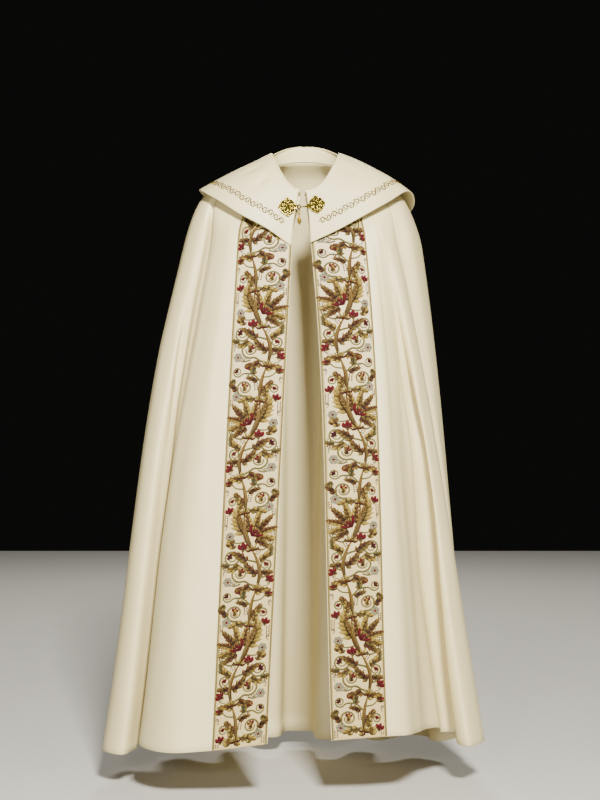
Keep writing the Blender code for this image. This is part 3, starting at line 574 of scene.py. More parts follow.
LOBE_REACH = 0.36           # shares of the leaf's width that a lobe reaches out, at the ends
LOBE_MORE = 0.24            # and the share that the middle adds
LOBE_SPREAD = 44            # degrees that a lobe leaves the rib at the leaf's foot, how much less
LOBE_CLOSING = 24           # at its tip, and how much further a lobe bends
LOBE_SWEEP = 16
FAN = (-84, -58, -30, 0, 30, 58, 84)    # bearings of a palmette's leaves
VOLUTE_FULLER = 1.15        # how much the stems and leaves of the bands are enlarged as drawn
LEAF_LONGER = 1.10
LEAF_WIDER = 1.30
SCROLL_POINTS = 26          # points of a curl of the collar's scroll
PADDING = 0.0016            # in metres; relief at which the strokes' own heights hold
CURL_TURNS = 1.35           # of a volute or a tendril
STEM_SWING = 22.0           # how far a band's main stem swings, and a smaller sway on top
STEM_SWAY = 8.0
HALF_REPEAT = 260.0         # height of half the bands' pattern
FIRST_REPEAT = 98.0         # from the hem to the foot of the first whole repeat
BAND_TOP_MARGIN = 6.0       # kept clear at a band's top
BAND_FOOT_MARGIN = 3.0
SCROLL_INSET = 37.0         # from the collar's outer edge to the middle of its scroll
SCROLL_PITCH = 18.0
SCROLL_SWAY = 7.2           # how far its stem swings to each side
SCROLL_CURL = 6.6           # a curl starts this far, and the eye's radius, from its middle
SCROLL_EYE = 1.4
SCROLL_TURN = 430.0         # degrees that a curl turns
SCROLL_FRONT_GAP = 24.0
SCROLL_ZONE = 0.075         # in metres: depth of the collar's edge that is read, and its step
SCROLL_ZONE_STEP = 0.0015

# Metalwork
POLISHED = "polished gilt"
# the plates' sunk floors are near-black all over, under the gilt relief
DARK_FLOOR = "dark floor gilt"
PLATE_FLOOR = 0.0014        # height of a plate's sunk floor above its back
PLATE_SIDES = 120
PLATE_PROFILE = ((0.90, 0.0014), (0.97, 0.0019), (1.00, 0.0012), (0.995, 0.0))  # share, height
RELIEF_REACH = 0.03         # half the square on which metal relief is drawn
DROP_ROWS = 60
DROP_SIDES = 32
PENDANT_FACE = 0.0006       # the relief's foot lies this far from the drop's middle
LINK_POINTS = 110
LINK_SIDES = 12
BEAD_SWELL = 0.22           # how much a bead swells a cast link
BEADED_FROM = 1.15          # only stretches this much thicker than the wire have beads
CastLink = namedtuple("CastLink", "node shares radii beads")     # radii in mm, at shares of the length
EYE_CAST = CastLink(
    "clasp_eye", (0, 0.12, 0.2, 0.38, 0.5, 0.6, 0.78, 1.0), (2.6, 2.4, 2.0, 1.8, 0.9, 0.95, 1.15, 1.9), 11)
HOOK_CAST = CastLink("clasp_hook", (0, 0.16, 0.40, 0.56, 1.0), (3.0, 2.4, 1.7, 0.9, 0.9), 9)


# ---------------------------------------------------------------- fine surfaces

def wrinkle(across, down):
    """Small soft unevenness of hanging cloth, in metres along the normal."""
    a = np.asarray(across)[:, None]
    d = np.asarray(down)[None, :]
    total = np.zeros((a.shape[0], d.shape[1]))
    for fold in SOFT_FOLDS:
        phase = fold.phase + fold.drift * np.sin(2 * math.pi * d * fold.wander)
        total = total + fold.depth * np.sin(2 * math.pi * a / fold.pitch + phase)
    hang = smooth_step(d, *HANG_FADE)
    from_edge = np.minimum(a, hem_width() - a)
    calm = CALM_SHARE + (1 - CALM_SHARE) * smooth_step(from_edge, *CALM_EDGE)
    return total * hang * calm


def crease_depth(across, down):
    """How far the cloth is drawn in along its creases, in metres."""
    a = np.asarray(across, dtype=float)
    total = np.zeros((len(a), len(down)))
    for crease in CREASES:
        from_edge = a if crease.side == "left" else hem_width() - a
        points = np.array(crease.points)
        inside = (down >= points[0, 0]) & (down <= points[-1, 0])
        found = spline(points[:, 0], points[:, 1:], np.clip(down, points[0, 0], points[-1, 0]))
        offset = from_edge[:, None] - found[None, :, 0]
        half = np.where(offset < 0, found[None, :, 2], found[None, :, 3])
        kept = np.clip(found[:, 1], points[:, 2].min(), points[:, 2].max())
        depth = np.where(inside, kept, 0.0)
        total = total + depth[None, :] * np.exp(-(offset / half) ** 2)
    return total


def cloak_columns():
    """Places across the cloth, closer together where a crease runs."""
    width = hem_width()
    places = [np.linspace(0, width, CLOAK_COLUMNS)]
    for crease in CREASES:
        spots = [point[1] for point in crease.points]
        low, high = min(spots) - CREASE_MARGIN, max(spots) + CREASE_MARGIN
        if crease.side == "right":
            low, high = width - high, width - low
        places.append(np.arange(low, high, CREASE_STEP))
    merged = np.unique(np.concatenate(places))
    apart = np.concatenate([[True], np.diff(merged) > CREASE_STEP * CLOSEST])
    apart[-1] = True
    return merged[apart]


def fine_cope(across, down):
    """Cloth's middle surface and normals on a fine grid, with its creases and soft unevenness."""
    grid, normals = cope_grid(across, down)
    raised = wrinkle(across, down) - crease_depth(across, down)
    return grid + normals * raised[..., None], normals


def fine_collar():
    """Collar's middle surface and normals on a fine grid, with its soft creases."""
    grid = even_rows(collar_surface(FINE_COLLAR_COLUMNS, FINE_COLLAR_ROWS), FINE_COLLAR_ROWS)
    eased = (grid[:, :-2] + grid[:, 1:-1] * 2 + grid[:, 2:]) / 4
    grid = np.concatenate([grid[:, :1], eased, grid[:, -1:]], axis=1)
    normals = outward_normals(grid)
    across = along_rows(grid, 0)
    down = along_rows(grid, 1)
    share = np.linspace(0, 1, FINE_COLLAR_COLUMNS)
    drawn = np.zeros(across.shape)
    for crease in COLLAR_CREASES:
        column = np.argmin(np.abs(share - crease.share))
        t = (down - crease.start) / (crease.end - crease.start)
        middle = across[column][None, :] + crease.lean * np.clip(t, 0, 1)
        fade = smooth_step(t, *CREASE_START) * (1 - smooth_step(t, *CREASE_END))
        drawn = drawn + crease.depth * fade * np.exp(-((across - middle) / crease.half) ** 2)
    return grid - normals * drawn[..., None], normals


def even_rows(grid, rows):
    """The same surface with steadily spaced points down every column, closer at the roll."""
    evened = []
    for column in grid:
        length = run_length(column)[-1]
        places = np.concatenate([
            np.linspace(0, ROLL_DEPTH, rows // 3, endpoint=False),
            np.linspace(ROLL_DEPTH, length, rows - rows // 3)])
        evened.append(read_along(column, places))
    return np.array(evened)


def band_grid(side, start, end, columns, lift):
    """Fine grid over a strip of a band, from its top to the hem, raised off the cloth."""
    across = np.linspace(start, end, columns + 1)
    if side == "right":
        across = hem_width() - across[::-1]
    down = np.linspace(BAND_TOP_ROW, 1.0, BAND_ROWS)
    grid, normals = fine_cope(across, down)
    return grid + normals * lift, normals


def along_rows(grid, axis):
    """Distance run along one axis of a grid of points."""
    steps = np.linalg.norm(np.diff(grid, axis=axis), axis=2)
    run = np.cumsum(steps, axis=axis)
    pad = [(0, 0), (0, 0)]
    pad[axis] = (1, 0)
    return np.pad(run, pad)


def grid_quads(ids):
    """Four-sided faces between the neighbours in a grid of point numbers."""
    return np.stack([ids[:-1, :-1], ids[1:, :-1], ids[1:, 1:], ids[:-1, 1:]], axis=2).reshape(-1, 4)


def ring_triangles(rings, sides):
    """Faces over a stack of rings of points, with one more point before it and one after it."""
    last = 1 + rings * sides
    faces = []
    for k in range(sides):
        after = (k + 1) % sides
        faces.append((0, 1 + k, 1 + after))
        faces.append((last, last - sides + after, last - sides + k))
        for low in range(1, last - sides, sides):
            high = low + sides
            faces.append((low + k, high + k, high + after))
            faces.append((low + k, high + after, low + after))
    return np.array(faces)


def place_object(name, data, place=(0.0, 0.0, 0.0)):
    """A new object of the scene."""
    made = bpy.data.objects.new(name, data)
    made.location = place
    bpy.context.scene.collection.objects.link(made)
    return made


def mesh_piece(name, vertices, faces, finish, uv=None, shade=None):
    """A smooth-shaded mesh, with its finish, UVs in metres and a tint per point."""
    mesh = bpy.data.meshes.new(name)
    vertices = np.asarray(vertices, dtype=float).reshape(-1, 3)
    faces = np.asarray(faces)
    mesh.vertices.add(len(vertices))
    mesh.vertices.foreach_set("co", vertices.ravel())
    corners = faces.shape[1]
    mesh.loops.add(faces.size)
    mesh.loops.foreach_set("vertex_index", faces.ravel().astype(np.int32))
    mesh.polygons.add(len(faces))
    mesh.polygons.foreach_set("loop_start", np.arange(0, faces.size, corners, dtype=np.int32))
    mesh.polygons.foreach_set("loop_total", np.full(len(faces), corners, dtype=np.int32))
    mesh.update(calc_edges=True)
    mesh.validate()
    if uv is not None:
        layer = mesh.uv_layers.new(name="metres")
        layer.data.foreach_set("uv", np.asarray(uv, dtype=float)[faces.ravel()].ravel())
    if shade is not None:
        tint = mesh.attributes.new("tint", "FLOAT", "POINT")
        tint.data.foreach_set("value", np.asarray(shade, dtype=np.float32).ravel())
    mesh.materials.append(finish)
    mesh.shade_smooth()
    return place_object(name, mesh)


def shell(grid, normals, outer, inner):
    """Points, faces and UVs of a sheet of cloth: both faces and a rounded edge all round."""
    across, down = grid.shape[:2]
    u = along_rows(grid, 0)
    uv = np.stack([u - u[across // 2], along_rows(grid, 1)], axis=2).reshape(-1, 2)
    ids = np.arange(across * down).reshape(across, down)
    border = np.concatenate([ids[:-1, 0], ids[-1, :-1], ids[:0:-1, -1], ids[0, :0:-1]])
    tangent = np.zeros_like(grid)
    tangent[0] += grid[0] - grid[1]
    tangent[-1] += grid[-1] - grid[-2]
    tangent[:, 0] += grid[:, 0] - grid[:, 1]
    tangent[:, -1] += grid[:, -1] - grid[:, -2]
    tangent = tangent.reshape(-1, 3)[border]
    tangent /= np.linalg.norm(tangent, axis=1)[:, None]
    outer = np.broadcast_to(outer, (across, down))[..., None]
    inner = np.broadcast_to(inner, (across, down))[..., None]
    front = (grid + normals * outer).reshape(-1, 3)
    back = (grid - normals * inner).reshape(-1, 3)
    thick = (outer + inner).reshape(-1)[border]
    rim = (front[border] + back[border]) / 2 + tangent * thick[:, None] * EDGE_ROUND
    vertices = np.concatenate([front, back, rim])
    count = across * down
    outside = grid_quads(ids)
    inside = outside[:, ::-1] + count
    ring = 2 * count + np.arange(len(border))
    after = np.roll(ring, -1)
    next_border = np.roll(border, -1)
    edge_out = np.stack([border, ring, after, next_border], axis=1)
    edge_in = np.stack([ring, border + count, next_border + count, after], axis=1)
    faces = np.concatenate([outside, inside, edge_out, edge_in])
    return vertices, faces, np.concatenate([uv, uv, uv[border]])


class Patch:
    """A place to lay needlework: a surface read by metres across and metres along it."""

    def __init__(self, grid, normals, across, along):
        self.grid = grid
        self.normals = normals
        self.across = across
        self.along = along

    def read(self, x, y):
        """Points and normals of the surface at metres across and along."""
        i = np.interp(x, self.across, np.arange(len(self.across)))
        j = np.interp(y, self.along, np.arange(len(self.along)))
        i0 = np.clip(i.astype(int), 0, len(self.across) - 2)
        j0 = np.clip(j.astype(int), 0, len(self.along) - 2)
        s = (i - i0)[:, None]
        t = (j - j0)[:, None]
        found = []
        for source in (self.grid, self.normals):
            top = source[i0, j0] * (1 - s) + source[i0 + 1, j0] * s
            low = source[i0, j0 + 1] * (1 - s) + source[i0 + 1, j0 + 1] * s
            found.append(top * (1 - t) + low * t)
        found[1] /= np.linalg.norm(found[1], axis=1)[:, None]
        return found


def band_patch(side):
    """The face of one band: x from its middle, outwards from the front edge, y up from the hem."""
    across = np.linspace(0.0, BAND_WIDTH, EMBROIDERY_COLUMNS)
    columns = across if side == "left" else hem_width() - across
    down = np.linspace(BAND_TOP_ROW, 1.0, BAND_ROWS)
    grid, normals = fine_cope(columns, down)
    grid = grid + normals * (BAND_LIFT + BAND_WALL / 2)
    run = run_length(grid[len(across) // 2])
    return Patch(grid[:, ::-1], normals[:, ::-1], across - BAND_WIDTH / 2, (run[-1] - run)[::-1])


def collar_patch():
    """The collar's outer face: x along its outer edge, y inwards from that edge."""
    grid, normals = fine_collar()
    grid = grid + normals * COLLAR_WALL / 2
    edge = run_length(grid[:, -1])
    inwards = np.arange(0, SCROLL_ZONE, SCROLL_ZONE_STEP)
    points = []
    facing = []
    for column, column_normals in zip(grid[:, ::-1], normals[:, ::-1]):
        run = run_length(column)
        points.append(read_rows(column, run, inwards))
        facing.append(read_rows(column_normals, run, inwards))
    return Patch(np.array(points), np.array(facing), edge, inwards)


def flat_patch(centre, local_x, local_y, normal):
    """A flat place for metal relief, all round its centre."""
    reach = np.array([-RELIEF_REACH, RELIEF_REACH])
    grid = centre + reach[:, None, None] * local_x + reach[None, :, None] * local_y
    return Patch(grid, np.broadcast_to(normal, grid.shape), reach, reach)


# ---------------------------------------------------------------- settings

def linear(code):
    """Linear colour, with full alpha, of an sRGB hex code."""
    channels = [int(code[i:i + 2], 16) / 255 for i in (1, 3, 5)]
    return tuple(c / 12.92 if c <= 0.04045 else ((c + 0.055) / 1.055) ** 2.4 for c in channels) + (1.0,)


def colour_setting(name, description, code):
    """A colour that a user can change."""
    return bpy.props.FloatVectorProperty(
        name=name, description=description, default=linear(code), size=4, min=0, max=1, subtype="COLOR")


def length_setting(name, description, default):
    """A length that a user can change."""
    return bpy.props.FloatProperty(
        name=name, description=description, default=default, min=0.0, unit="LENGTH", precision=5)


class ClothSettings(bpy.types.PropertyGroup):
    """Colour and weave of the cloak and collar."""

    ivory: colour_setting("Ivory", "Colour of the cloth", "#D0C396")
    warm_ivory: colour_setting("Warm ivory", "Colour of the cloth where it is a little yellower", "#C9BA88")
    twill: length_setting("Twill", "Distance between two ribs of the twill, as drawn", 0.0016)


class BandSettings(bpy.types.PropertyGroup):
    """Satin, thread and braid of the front bands."""

    satin: colour_setting("Satin", "Colour of the bands' satin", "#B09C68")
    relief: length_setting("Relief", "Height of the padded embroidery", 0.0016)
    braid: colour_setting("Braid", "Colour of the plaited gold braid", "#86743A")


class ClaspSettings(bpy.types.PropertyGroup):
    """Metal of the clasp."""

    gold: colour_setting("Gold", "Colour of the polished parts", "#9C8C40")
    recess: colour_setting("Recess", "Colour of the dark sunk floors", "#1E1808")
    antique: colour_setting("Antique", "Colour of the worn hook, rings and drop", "#54400E")


class StageSettings(bpy.types.PropertyGroup):
    """Floor and light."""

    floor: colour_setting("Floor", "Colour of the floor and background", "#B9B6B0")
    floor_height: length_setting("Floor depth", "How far the floor is below the origin", 1.493)


# ---------------------------------------------------------------- finishes

def add_node(tree, kind, settings=None, links=None):
    """One node, with its settings and the sockets that feed it."""
    node = tree.nodes.new(kind)
    for key, value in (settings or {}).items():
        if isinstance(key, int) or key in node.inputs:
            node.inputs[key].default_value = value
        else:
            setattr(node, key, value)
    for key, source in (links or {}).items():
        tree.links.new(source, node.inputs[key])
    return node


def new_finish(name, **sockets):
    """An empty Principled material; its even values go straight on the shader's sockets."""
    made = bpy.data.materials.new(name)
    made.use_nodes = True
    shader = made.node_tree.nodes["Principled BSDF"]
    for socket, value in sockets.items():
        shader.inputs[socket.replace("_", " ")].default_value = value
    return made, made.node_tree, shader


def shaded(colour, share):
    """A colour at a share of its strength."""
    return tuple(c * share for c in colour[:3]) + (1.0,)


def finish_skin(tree, shader, tones, share, relief, strength, depth):
    """Ends a finish: its colour runs between two tones, and its relief stands up by a depth."""
    tone = add_node(
        tree, "ShaderNodeMix", {"data_type": "RGBA", 6: tuple(tones[0]), 7: tuple(tones[1])}, {0: share})
    bump = add_node(tree, "ShaderNodeBump", {"Strength": strength, "Distance": depth}, {"Height": relief})
    tree.links.new(tone.outputs[2], shader.inputs["Base Color"])
    tree.links.new(bump.outputs["Normal"], shader.inputs["Normal"])


def ivory_twill(name, light, warm, pitch):
    """Wool and silk twill, woven: soft low gloss, fine slanting ribs and faint slubs."""
    made, tree, shader = new_finish(name, Roughness=0.5, Specular_IOR_Level=0.7)
    metres = add_node(tree, "ShaderNodeUVMap", {"uv_map": "metres"}).outputs["UV"]
    ribs = add_node(
        tree, "ShaderNodeTexWave",
        {"bands_direction": "DIAGONAL", "Scale": WAVE_PERIOD / pitch, "Distortion": 0.6,
         "Detail": 1.0, "Detail Scale": 2.0},
        {"Vector": metres})
    slubs = add_node(tree, "ShaderNodeTexNoise", {"Scale": 420.0, "Detail": 2.0}, {"Vector": metres})
    weave = add_node(
        tree, "ShaderNodeMath", {"operation": "ADD"}, {0: ribs.outputs["Fac"], 1: slubs.outputs["Fac"]})
    clouds = add_node(tree, "ShaderNodeTexNoise", {"Scale": 5.0, "Detail": 4.0}, {"Vector": metres})
    finish_skin(
        tree, shader, (light, warm), clouds.outputs["Fac"], weave.outputs[0],
        strength=0.35, depth=0.0003)
    return made


def ivory_satin(name, colour):
    """Silk satin, woven with long floats: smoother and glossier than the twill."""
    made, tree, shader = new_finish(
        name, Roughness=0.42, Anisotropic=0.35, Sheen_Weight=0.05, Specular_IOR_Level=0.45)
    metres = add_node(tree, "ShaderNodeUVMap", {"uv_map": "metres"}).outputs["UV"]
    stretch = add_node(tree, "ShaderNodeMapping", {"Scale": (1100.0, 160.0, 1.0)}, {"Vector": metres})
    floats = add_node(
        tree, "ShaderNodeTexNoise", {"Scale": 1.0, "Detail": 2.0},
        {"Vector": stretch.outputs["Vector"]}).outputs["Fac"]
    finish_skin(tree, shader, (colour, shaded(colour, 0.93)), floats, floats, strength=0.3, depth=0.0002)
    return made


def stitched_thread(name, dark, light, metallic, roughness, pitch):
    """Laid thread: fine parallel stitches across each shape, darker at its root, lighter at its tip, with
    painted shade at each stitch's foot.
    """
    made, tree, shader = new_finish(
        name, Metallic=metallic, Roughness=roughness, Specular_IOR_Level=0.14)
    metres = add_node(tree, "ShaderNodeUVMap", {"uv_map": "metres"}).outputs["UV"]
    stitches = add_node(
        tree, "ShaderNodeTexWave",
        {"bands_direction": "DIAGONAL", "Scale": WAVE_PERIOD / pitch, "Distortion": 1.2,
         "Detail": 1.0, "Detail Scale": 1.5},
        {"Vector": metres}).outputs["Fac"]
    # the tint holds the thread's own shading along each stroke and the painted shade at each stitch's foot
    tint = add_node(tree, "ShaderNodeAttribute", {"attribute_name": "tint"})
    ripple = add_node(
        tree, "ShaderNodeMath", {"operation": "MULTIPLY_ADD", 1: 0.30, 2: -0.15}, {0: stitches})
    tone = add_node(
        tree, "ShaderNodeMath", {"operation": "ADD", "use_clamp": True},
        {0: tint.outputs["Fac"], 1: ripple.outputs[0]})
    finish_skin(
        tree, shader, (linear(dark), linear(light)), tone.outputs[0], stitches, strength=0.7, depth=0.0004)
    return made


def plaited_gold(name, colour):
    """Gold-wrapped cord, plaited flat: painted highlights on the ridges where the wrapping turns over, and
    painted shade in the grooves between.
    """
    made, tree, shader = new_finish(name, Metallic=0.5, Roughness=0.38)
    metres = add_node(tree, "ShaderNodeUVMap", {"uv_map": "metres"}).outputs["UV"]
    wraps = add_node(
        tree, "ShaderNodeTexWave",
        {"bands_direction": "DIAGONAL", "Scale": WAVE_PERIOD / WRAP_PITCH, "Distortion": 0.3},
        {"Vector": metres}).outputs["Fac"]
    # painted light: the wave that raises the wraps also colours them, dark in the grooves as painted shade
    # and full gold on the ridges as painted highlight
    finish_skin(tree, shader, (shaded(colour, 0.55), colour), wraps, wraps, strength=0.5, depth=0.0002)
    return made


def cast_gilt(name, colour, roughness):
    """Gilded brass, cast and polished by hand: warm mirror-like highs with a slightly rough skin."""
    made, tree, shader = new_finish(name, Metallic=1.0, Roughness=roughness)
    place = add_node(tree, "ShaderNodeTexCoord").outputs["Object"]
    grain = add_node(
        tree, "ShaderNodeTexNoise", {"Scale": 900.0, "Detail": 3.0}, {"Vector": place}).outputs["Fac"]
    finish_skin(tree, shader, (shaded(colour, 0.8), colour), grain, grain, strength=0.25, depth=0.0003)
    return made


# ---------------------------------------------------------------- needlework

Thread = namedtuple("Thread", "name dark light metallic roughness")
THREADS = (
    Thread("umber silk", "#140902", "#2E1A08", 0.0, 0.70),
    Thread("old gold", "#271B07", "#5E4619", 0.1, 0.46),
    Thread("bright gold", "#44340E", "#A0883C", 0.15, 0.42),
    Thread("copper silk", "#1F0D04", "#502C10", 0.0, 0.55),
    Thread("olive silk", "#2B2A12", "#5F5A30", 0.0, 0.50),
    Thread("crimson silk", "#240006", "#52000C", 0.0, 0.65),
    Thread("burgundy silk", "#1A0108", "#36020E", 0.0, 0.60),
    Thread("silver thread", "#4A483C", "#7C7862", 0.0, 0.50),
    Thread("scroll gold", "#3A2C06", "#6A5210", 0.1, 0.50),
    Thread("grey silk", "#1B1713", "#332D27", 0.0, 0.60),
)
Stroke = namedtuple("Stroke", "thread line half_width height lift tint")


def heading(angle):
    """Unit steps in the directions of angles in degrees."""
    turn = np.radians(angle)
    return np.stack([np.cos(turn), np.sin(turn)], axis=-1)


def curled(centre, start, turned, radii):
    """Points of a curl round a centre: the bearing it starts at and how far it turns, in degrees."""
    return centre + heading(start + np.linspace(0, turned, len(radii))) * np.asarray(radii)[:, None]


def smooth_line(points, count):
    """Evenly read smooth line through points of the plane."""
    points = np.asarray(points, dtype=float)
    knots = run_length(points)
    return spline(knots, points, np.linspace(0, knots[-1], count))


def petal_width(count, fullest=0.45):
    """Half width of a petal from root to tip, 1 at its fullest."""
    t = np.linspace(0, 1, count)
    power = math.log(0.5) / math.log(fullest)
    return np.sin(math.pi * t ** power) ** 0.8


class Design:
    """A piece of needlework on paper: strokes of thread, in mm, x outwards from the front edge, y up."""

    def __init__(self):
        self.strokes = []

    def stroke(self, thread, line, half_width, height, lift=0.0, tint=(0.3, 0.8)):
        """One raised line or petal of laid thread."""
        line = np.asarray(line, dtype=float)
        half_width = np.broadcast_to(half_width, len(line)).astype(float)
        tints = np.linspace(tint[0], tint[1], len(line))
        self.strokes.append(Stroke(thread, line, half_width, height, lift, tints))

    def petal(self, thread, points, width, height, count=9, fullest=0.45, lift=0.0, tint=(0.1, 0.9)):
        """A padded petal or lobe with a thin darker edge round it."""
        line = smooth_line(points, count)
        shape = petal_width(count, fullest)
        edge = shape * width / 2 + EDGE_SHOWN
        self.stroke("umber silk", line, edge, EDGE_HEIGHT, max(0.0, lift - EDGE_BELOW), (0.2, 0.5))
        self.stroke(thread, line, shape * width / 2, height, lift, tint)

    def stem(self, thread, points, widths, height=1.1, count=None, lift=0.0, tint=(0.35, 0.75)):
        """A stem that tapers through the widths given."""
        length = run_length(np.asarray(points, dtype=float))[-1]
        count = count or max(8, int(length / STEM_STEP))
        line = smooth_line(points, count)
        half = np.interp(np.linspace(0, 1, count), np.linspace(0, 1, len(widths)), widths) / 2
        self.stroke("umber silk", line, half + EDGE_SHOWN, height=0.4, tint=(0.2, 0.4))
        self.stroke(thread, line, half, height, lift, tint)

    def leaf(self, base, angle, length, width, bend, threads, rib="bright gold"):
        """An acanthus leaf: swept pointed lobes along a bent rib, dark at the root and gold at the tips, with
        a painted highlight along each lobe's crest.
        """
        pairs = max(3, round(length / LOBE_SPACING))
        turns = angle + bend * np.linspace(0, 1, LEAF_STEPS)
        spine = base + np.cumsum(heading(turns), axis=0) * (length / LEAF_STEPS)
        blade = petal_width(LEAF_STEPS, fullest=0.42) * width * LEAF_BLADE
        self.stroke(threads[0], spine, blade, height=0.7, tint=(-0.2, 0.5))
        gap = length * 0.78 / pairs
        for k in range(pairs):
            share = LOBES_FROM + LOBES_RUN * k / max(1, pairs - 1)
            i = int(share * (LEAF_STEPS - 1))
            reach = width * (LOBE_REACH + LOBE_MORE * math.sin(math.pi * min(1.0, 0.30 + share)))
            spread = LOBE_SPREAD - LOBE_CLOSING * share
            lift = 0.25 + 0.05 * k
            for side, thread, tone in ((-1, threads[0], (-0.2, 0.6)), (1, threads[1], (0.2, 1.0))):
                middle = spine[i] + heading(turns[i] + side * spread) * reach * 0.6
                tip = middle + heading(turns[i] + side * (spread + LOBE_SWEEP)) * reach * 0.6
                self.petal(
                    thread, [spine[i], middle, tip], gap * 1.06,
                    height=1.2, count=7, fullest=0.42, lift=lift, tint=(0.0, 0.8))
                # painted highlight: a thin bright gold line along the crest of each lobe
                highlight_crest = smooth_line([spine[i] * 0.5 + middle * 0.5, middle, tip], 6)
                highlight_crest_width = petal_width(6, fullest=0.5) * gap * 0.10 + 0.2
                self.stroke(rib, highlight_crest, highlight_crest_width, height=0.6, lift=lift + 0.95, tint=tone)
        top = int(0.60 * (LEAF_STEPS - 1))
        tip_line = [spine[top], spine[(top + LEAF_STEPS) // 2], spine[-1]]
        self.petal(threads[1], tip_line, width * 0.32, height=1.3, lift=0.5, tint=(-0.1, 0.9))
        rib_width = np.linspace(0.07, 0.02, top + 5) * width / 2 + 0.3
        self.stroke("umber silk", spine[:top + 5], rib_width, height=0.8, lift=1.0, tint=(0.0, 0.6))
        tip_width = petal_width(6, fullest=0.4) * width * 0.05
        self.stroke(rib, smooth_line(tip_line, 6), tip_width, height=0.6, lift=1.4, tint=(0.2, 0.9))

    def palmette(self, base, angle, size, threads, heart):
        """A fan of seven leaves with a heart of dark petals."""
        for k, turn in enumerate(FAN):
            away = abs(turn) / FAN[-1]
            length = size * (1.0 - 0.30 * away)
            pair = (threads[k % len(threads)], threads[(k + 1) % len(threads)])
            start = base + heading(angle + turn) * size * 0.15
            self.leaf(start, angle + turn * 0.86, length * 0.9, size * 0.31, turn * 0.22, pair)
        for turn, reach in ((-46, 0.40), (0, 0.30), (44, 0.46)):
            tip = base + heading(angle + turn) * size * reach
            middle = (base + tip) / 2 + heading(angle + turn + 90) * size * 0.02
            self.petal(
                heart, [base, middle, tip], size * 0.13,
                height=1.2, count=8, fullest=0.6, lift=1.1, tint=(0.2, 0.7))

    def knot(self, thread, centre, radius, height=1.0, lift=0.0, tint=0.6):
        """A French knot: a small round dome."""
        t = np.linspace(-1, 1, 5)
        line = np.stack([centre[0] + t * radius, np.full(5, centre[1])], axis=1)
        self.stroke(thread, line, np.sqrt(np.maximum(0.0, 1 - t * t)) * radius, height, lift, (tint, tint))

    def flower(self, centre, radius, petals, thread, heart, turn=0.0):
        """A round flower of separate padded petals with dark edges and veins round a knotted heart."""
        for k in range(petals):
            out = heading(turn + 360 * k / petals)
            width = 2.0 * radius * math.sin(math.pi / petals) * 0.70
            line = smooth_line([centre + out * radius * reach for reach in (0.18, 0.6, 1.0)], 9)
            shape = petal_width(9, fullest=0.68)
            self.stroke("grey silk", line, shape * width / 2 + 1.2, height=0.5, tint=(0.2, 0.6))
            self.stroke(thread, line, shape * width / 2, height=1.1, lift=0.2, tint=(0.1, 0.9))
            vein = smooth_line([centre + out * radius * reach for reach in (0.25, 0.5, 0.8)], 5)
            self.stroke("grey silk", vein, petal_width(5) * 0.55, height=0.3, lift=1.1, tint=(0.3, 0.6))
        self.knot(heart, centre, radius * 0.26, height=1.3, lift=0.8, tint=0.7)

    def trefoil(self, base, angle, size, thread, cup="old gold"):
        """A three-petalled flower seen from its side, in a small cup."""
        for turn, reach in ((-56, 0.94), (56, 0.94), (0, 1.0)):
            middle = base + heading(angle + turn) * size * 0.45
            tip = base + heading(angle + turn * 0.6) * size * reach
            self.petal(thread, [base, middle, tip], size * 0.54, height=1.2, count=8, fullest=0.6)
        for turn in (-100, 100, 180):
            middle = base + heading(angle + turn) * size * 0.16
            tip = base + heading(angle + turn * 0.7) * size * 0.34
            self.petal(cup, [base, middle, tip], size * 0.18, height=1.0, count=6, fullest=0.5, lift=0.4)

    def berries(self, base, angle, count, thread="burgundy silk"):
        """Two rows of little berries."""
        for k in range(count):
            for side in (-1, 1):
                spot = base + heading(angle) * k * 4.4 + heading(angle + 90) * side * (2.5 + 0.4 * (k % 2))
                self.knot(thread, spot, radius=1.8, height=0.9, tint=0.4 + 0.2 * (k % 3))

    def tendril(self, base, angle, size, side, thread="grey silk"):
        """A thin thread that runs out and curls up."""
        radius = size * 0.24
        out = base + heading(angle) * size * 0.6
        centre = out + heading(angle + side * 90) * radius
        shrink = np.linspace(1.0, 0.32, 22) * radius
        curl = curled(centre, angle - side * 90, side * CURL_TURNS * 360, shrink)
        middle = (base + out) / 2 - heading(angle + side * 90) * size * 0.06
        line = smooth_line(np.concatenate([[base, middle, out], curl[2:]]), 34)
        self.stroke(thread, line, np.linspace(1.0, 0.85, 34), height=0.7, tint=(0.2, 0.5))

    def volute(self, path, centre, radius, side, width, thread="olive silk"):
        """A stem that leaves along a path and rolls up round a centre."""
        entry = np.array(path[-1], dtype=float) - centre
        start = math.degrees(math.atan2(entry[1], entry[0]))
        samples = int(26 * CURL_TURNS)
        shrink = np.linspace(1.0, 0.42, samples) * radius
        curl = curled(centre, start, side * CURL_TURNS * 360, shrink)
        points = np.concatenate([path[:-1], curl])
        self.stem(thread, points, (width, width * 0.95, width * 0.8, width * 0.55), height=1.2)
        # painted highlight: a thin bright gold line along the top of the rolled stem
        inner = smooth_line(points, 3 * samples)
        painted_shine_width = np.linspace(0.11, 0.06, len(inner)) * width
        self.stroke("bright gold", inner, painted_shine_width, height=0.5, lift=1.15, tint=(0.3, 0.7))


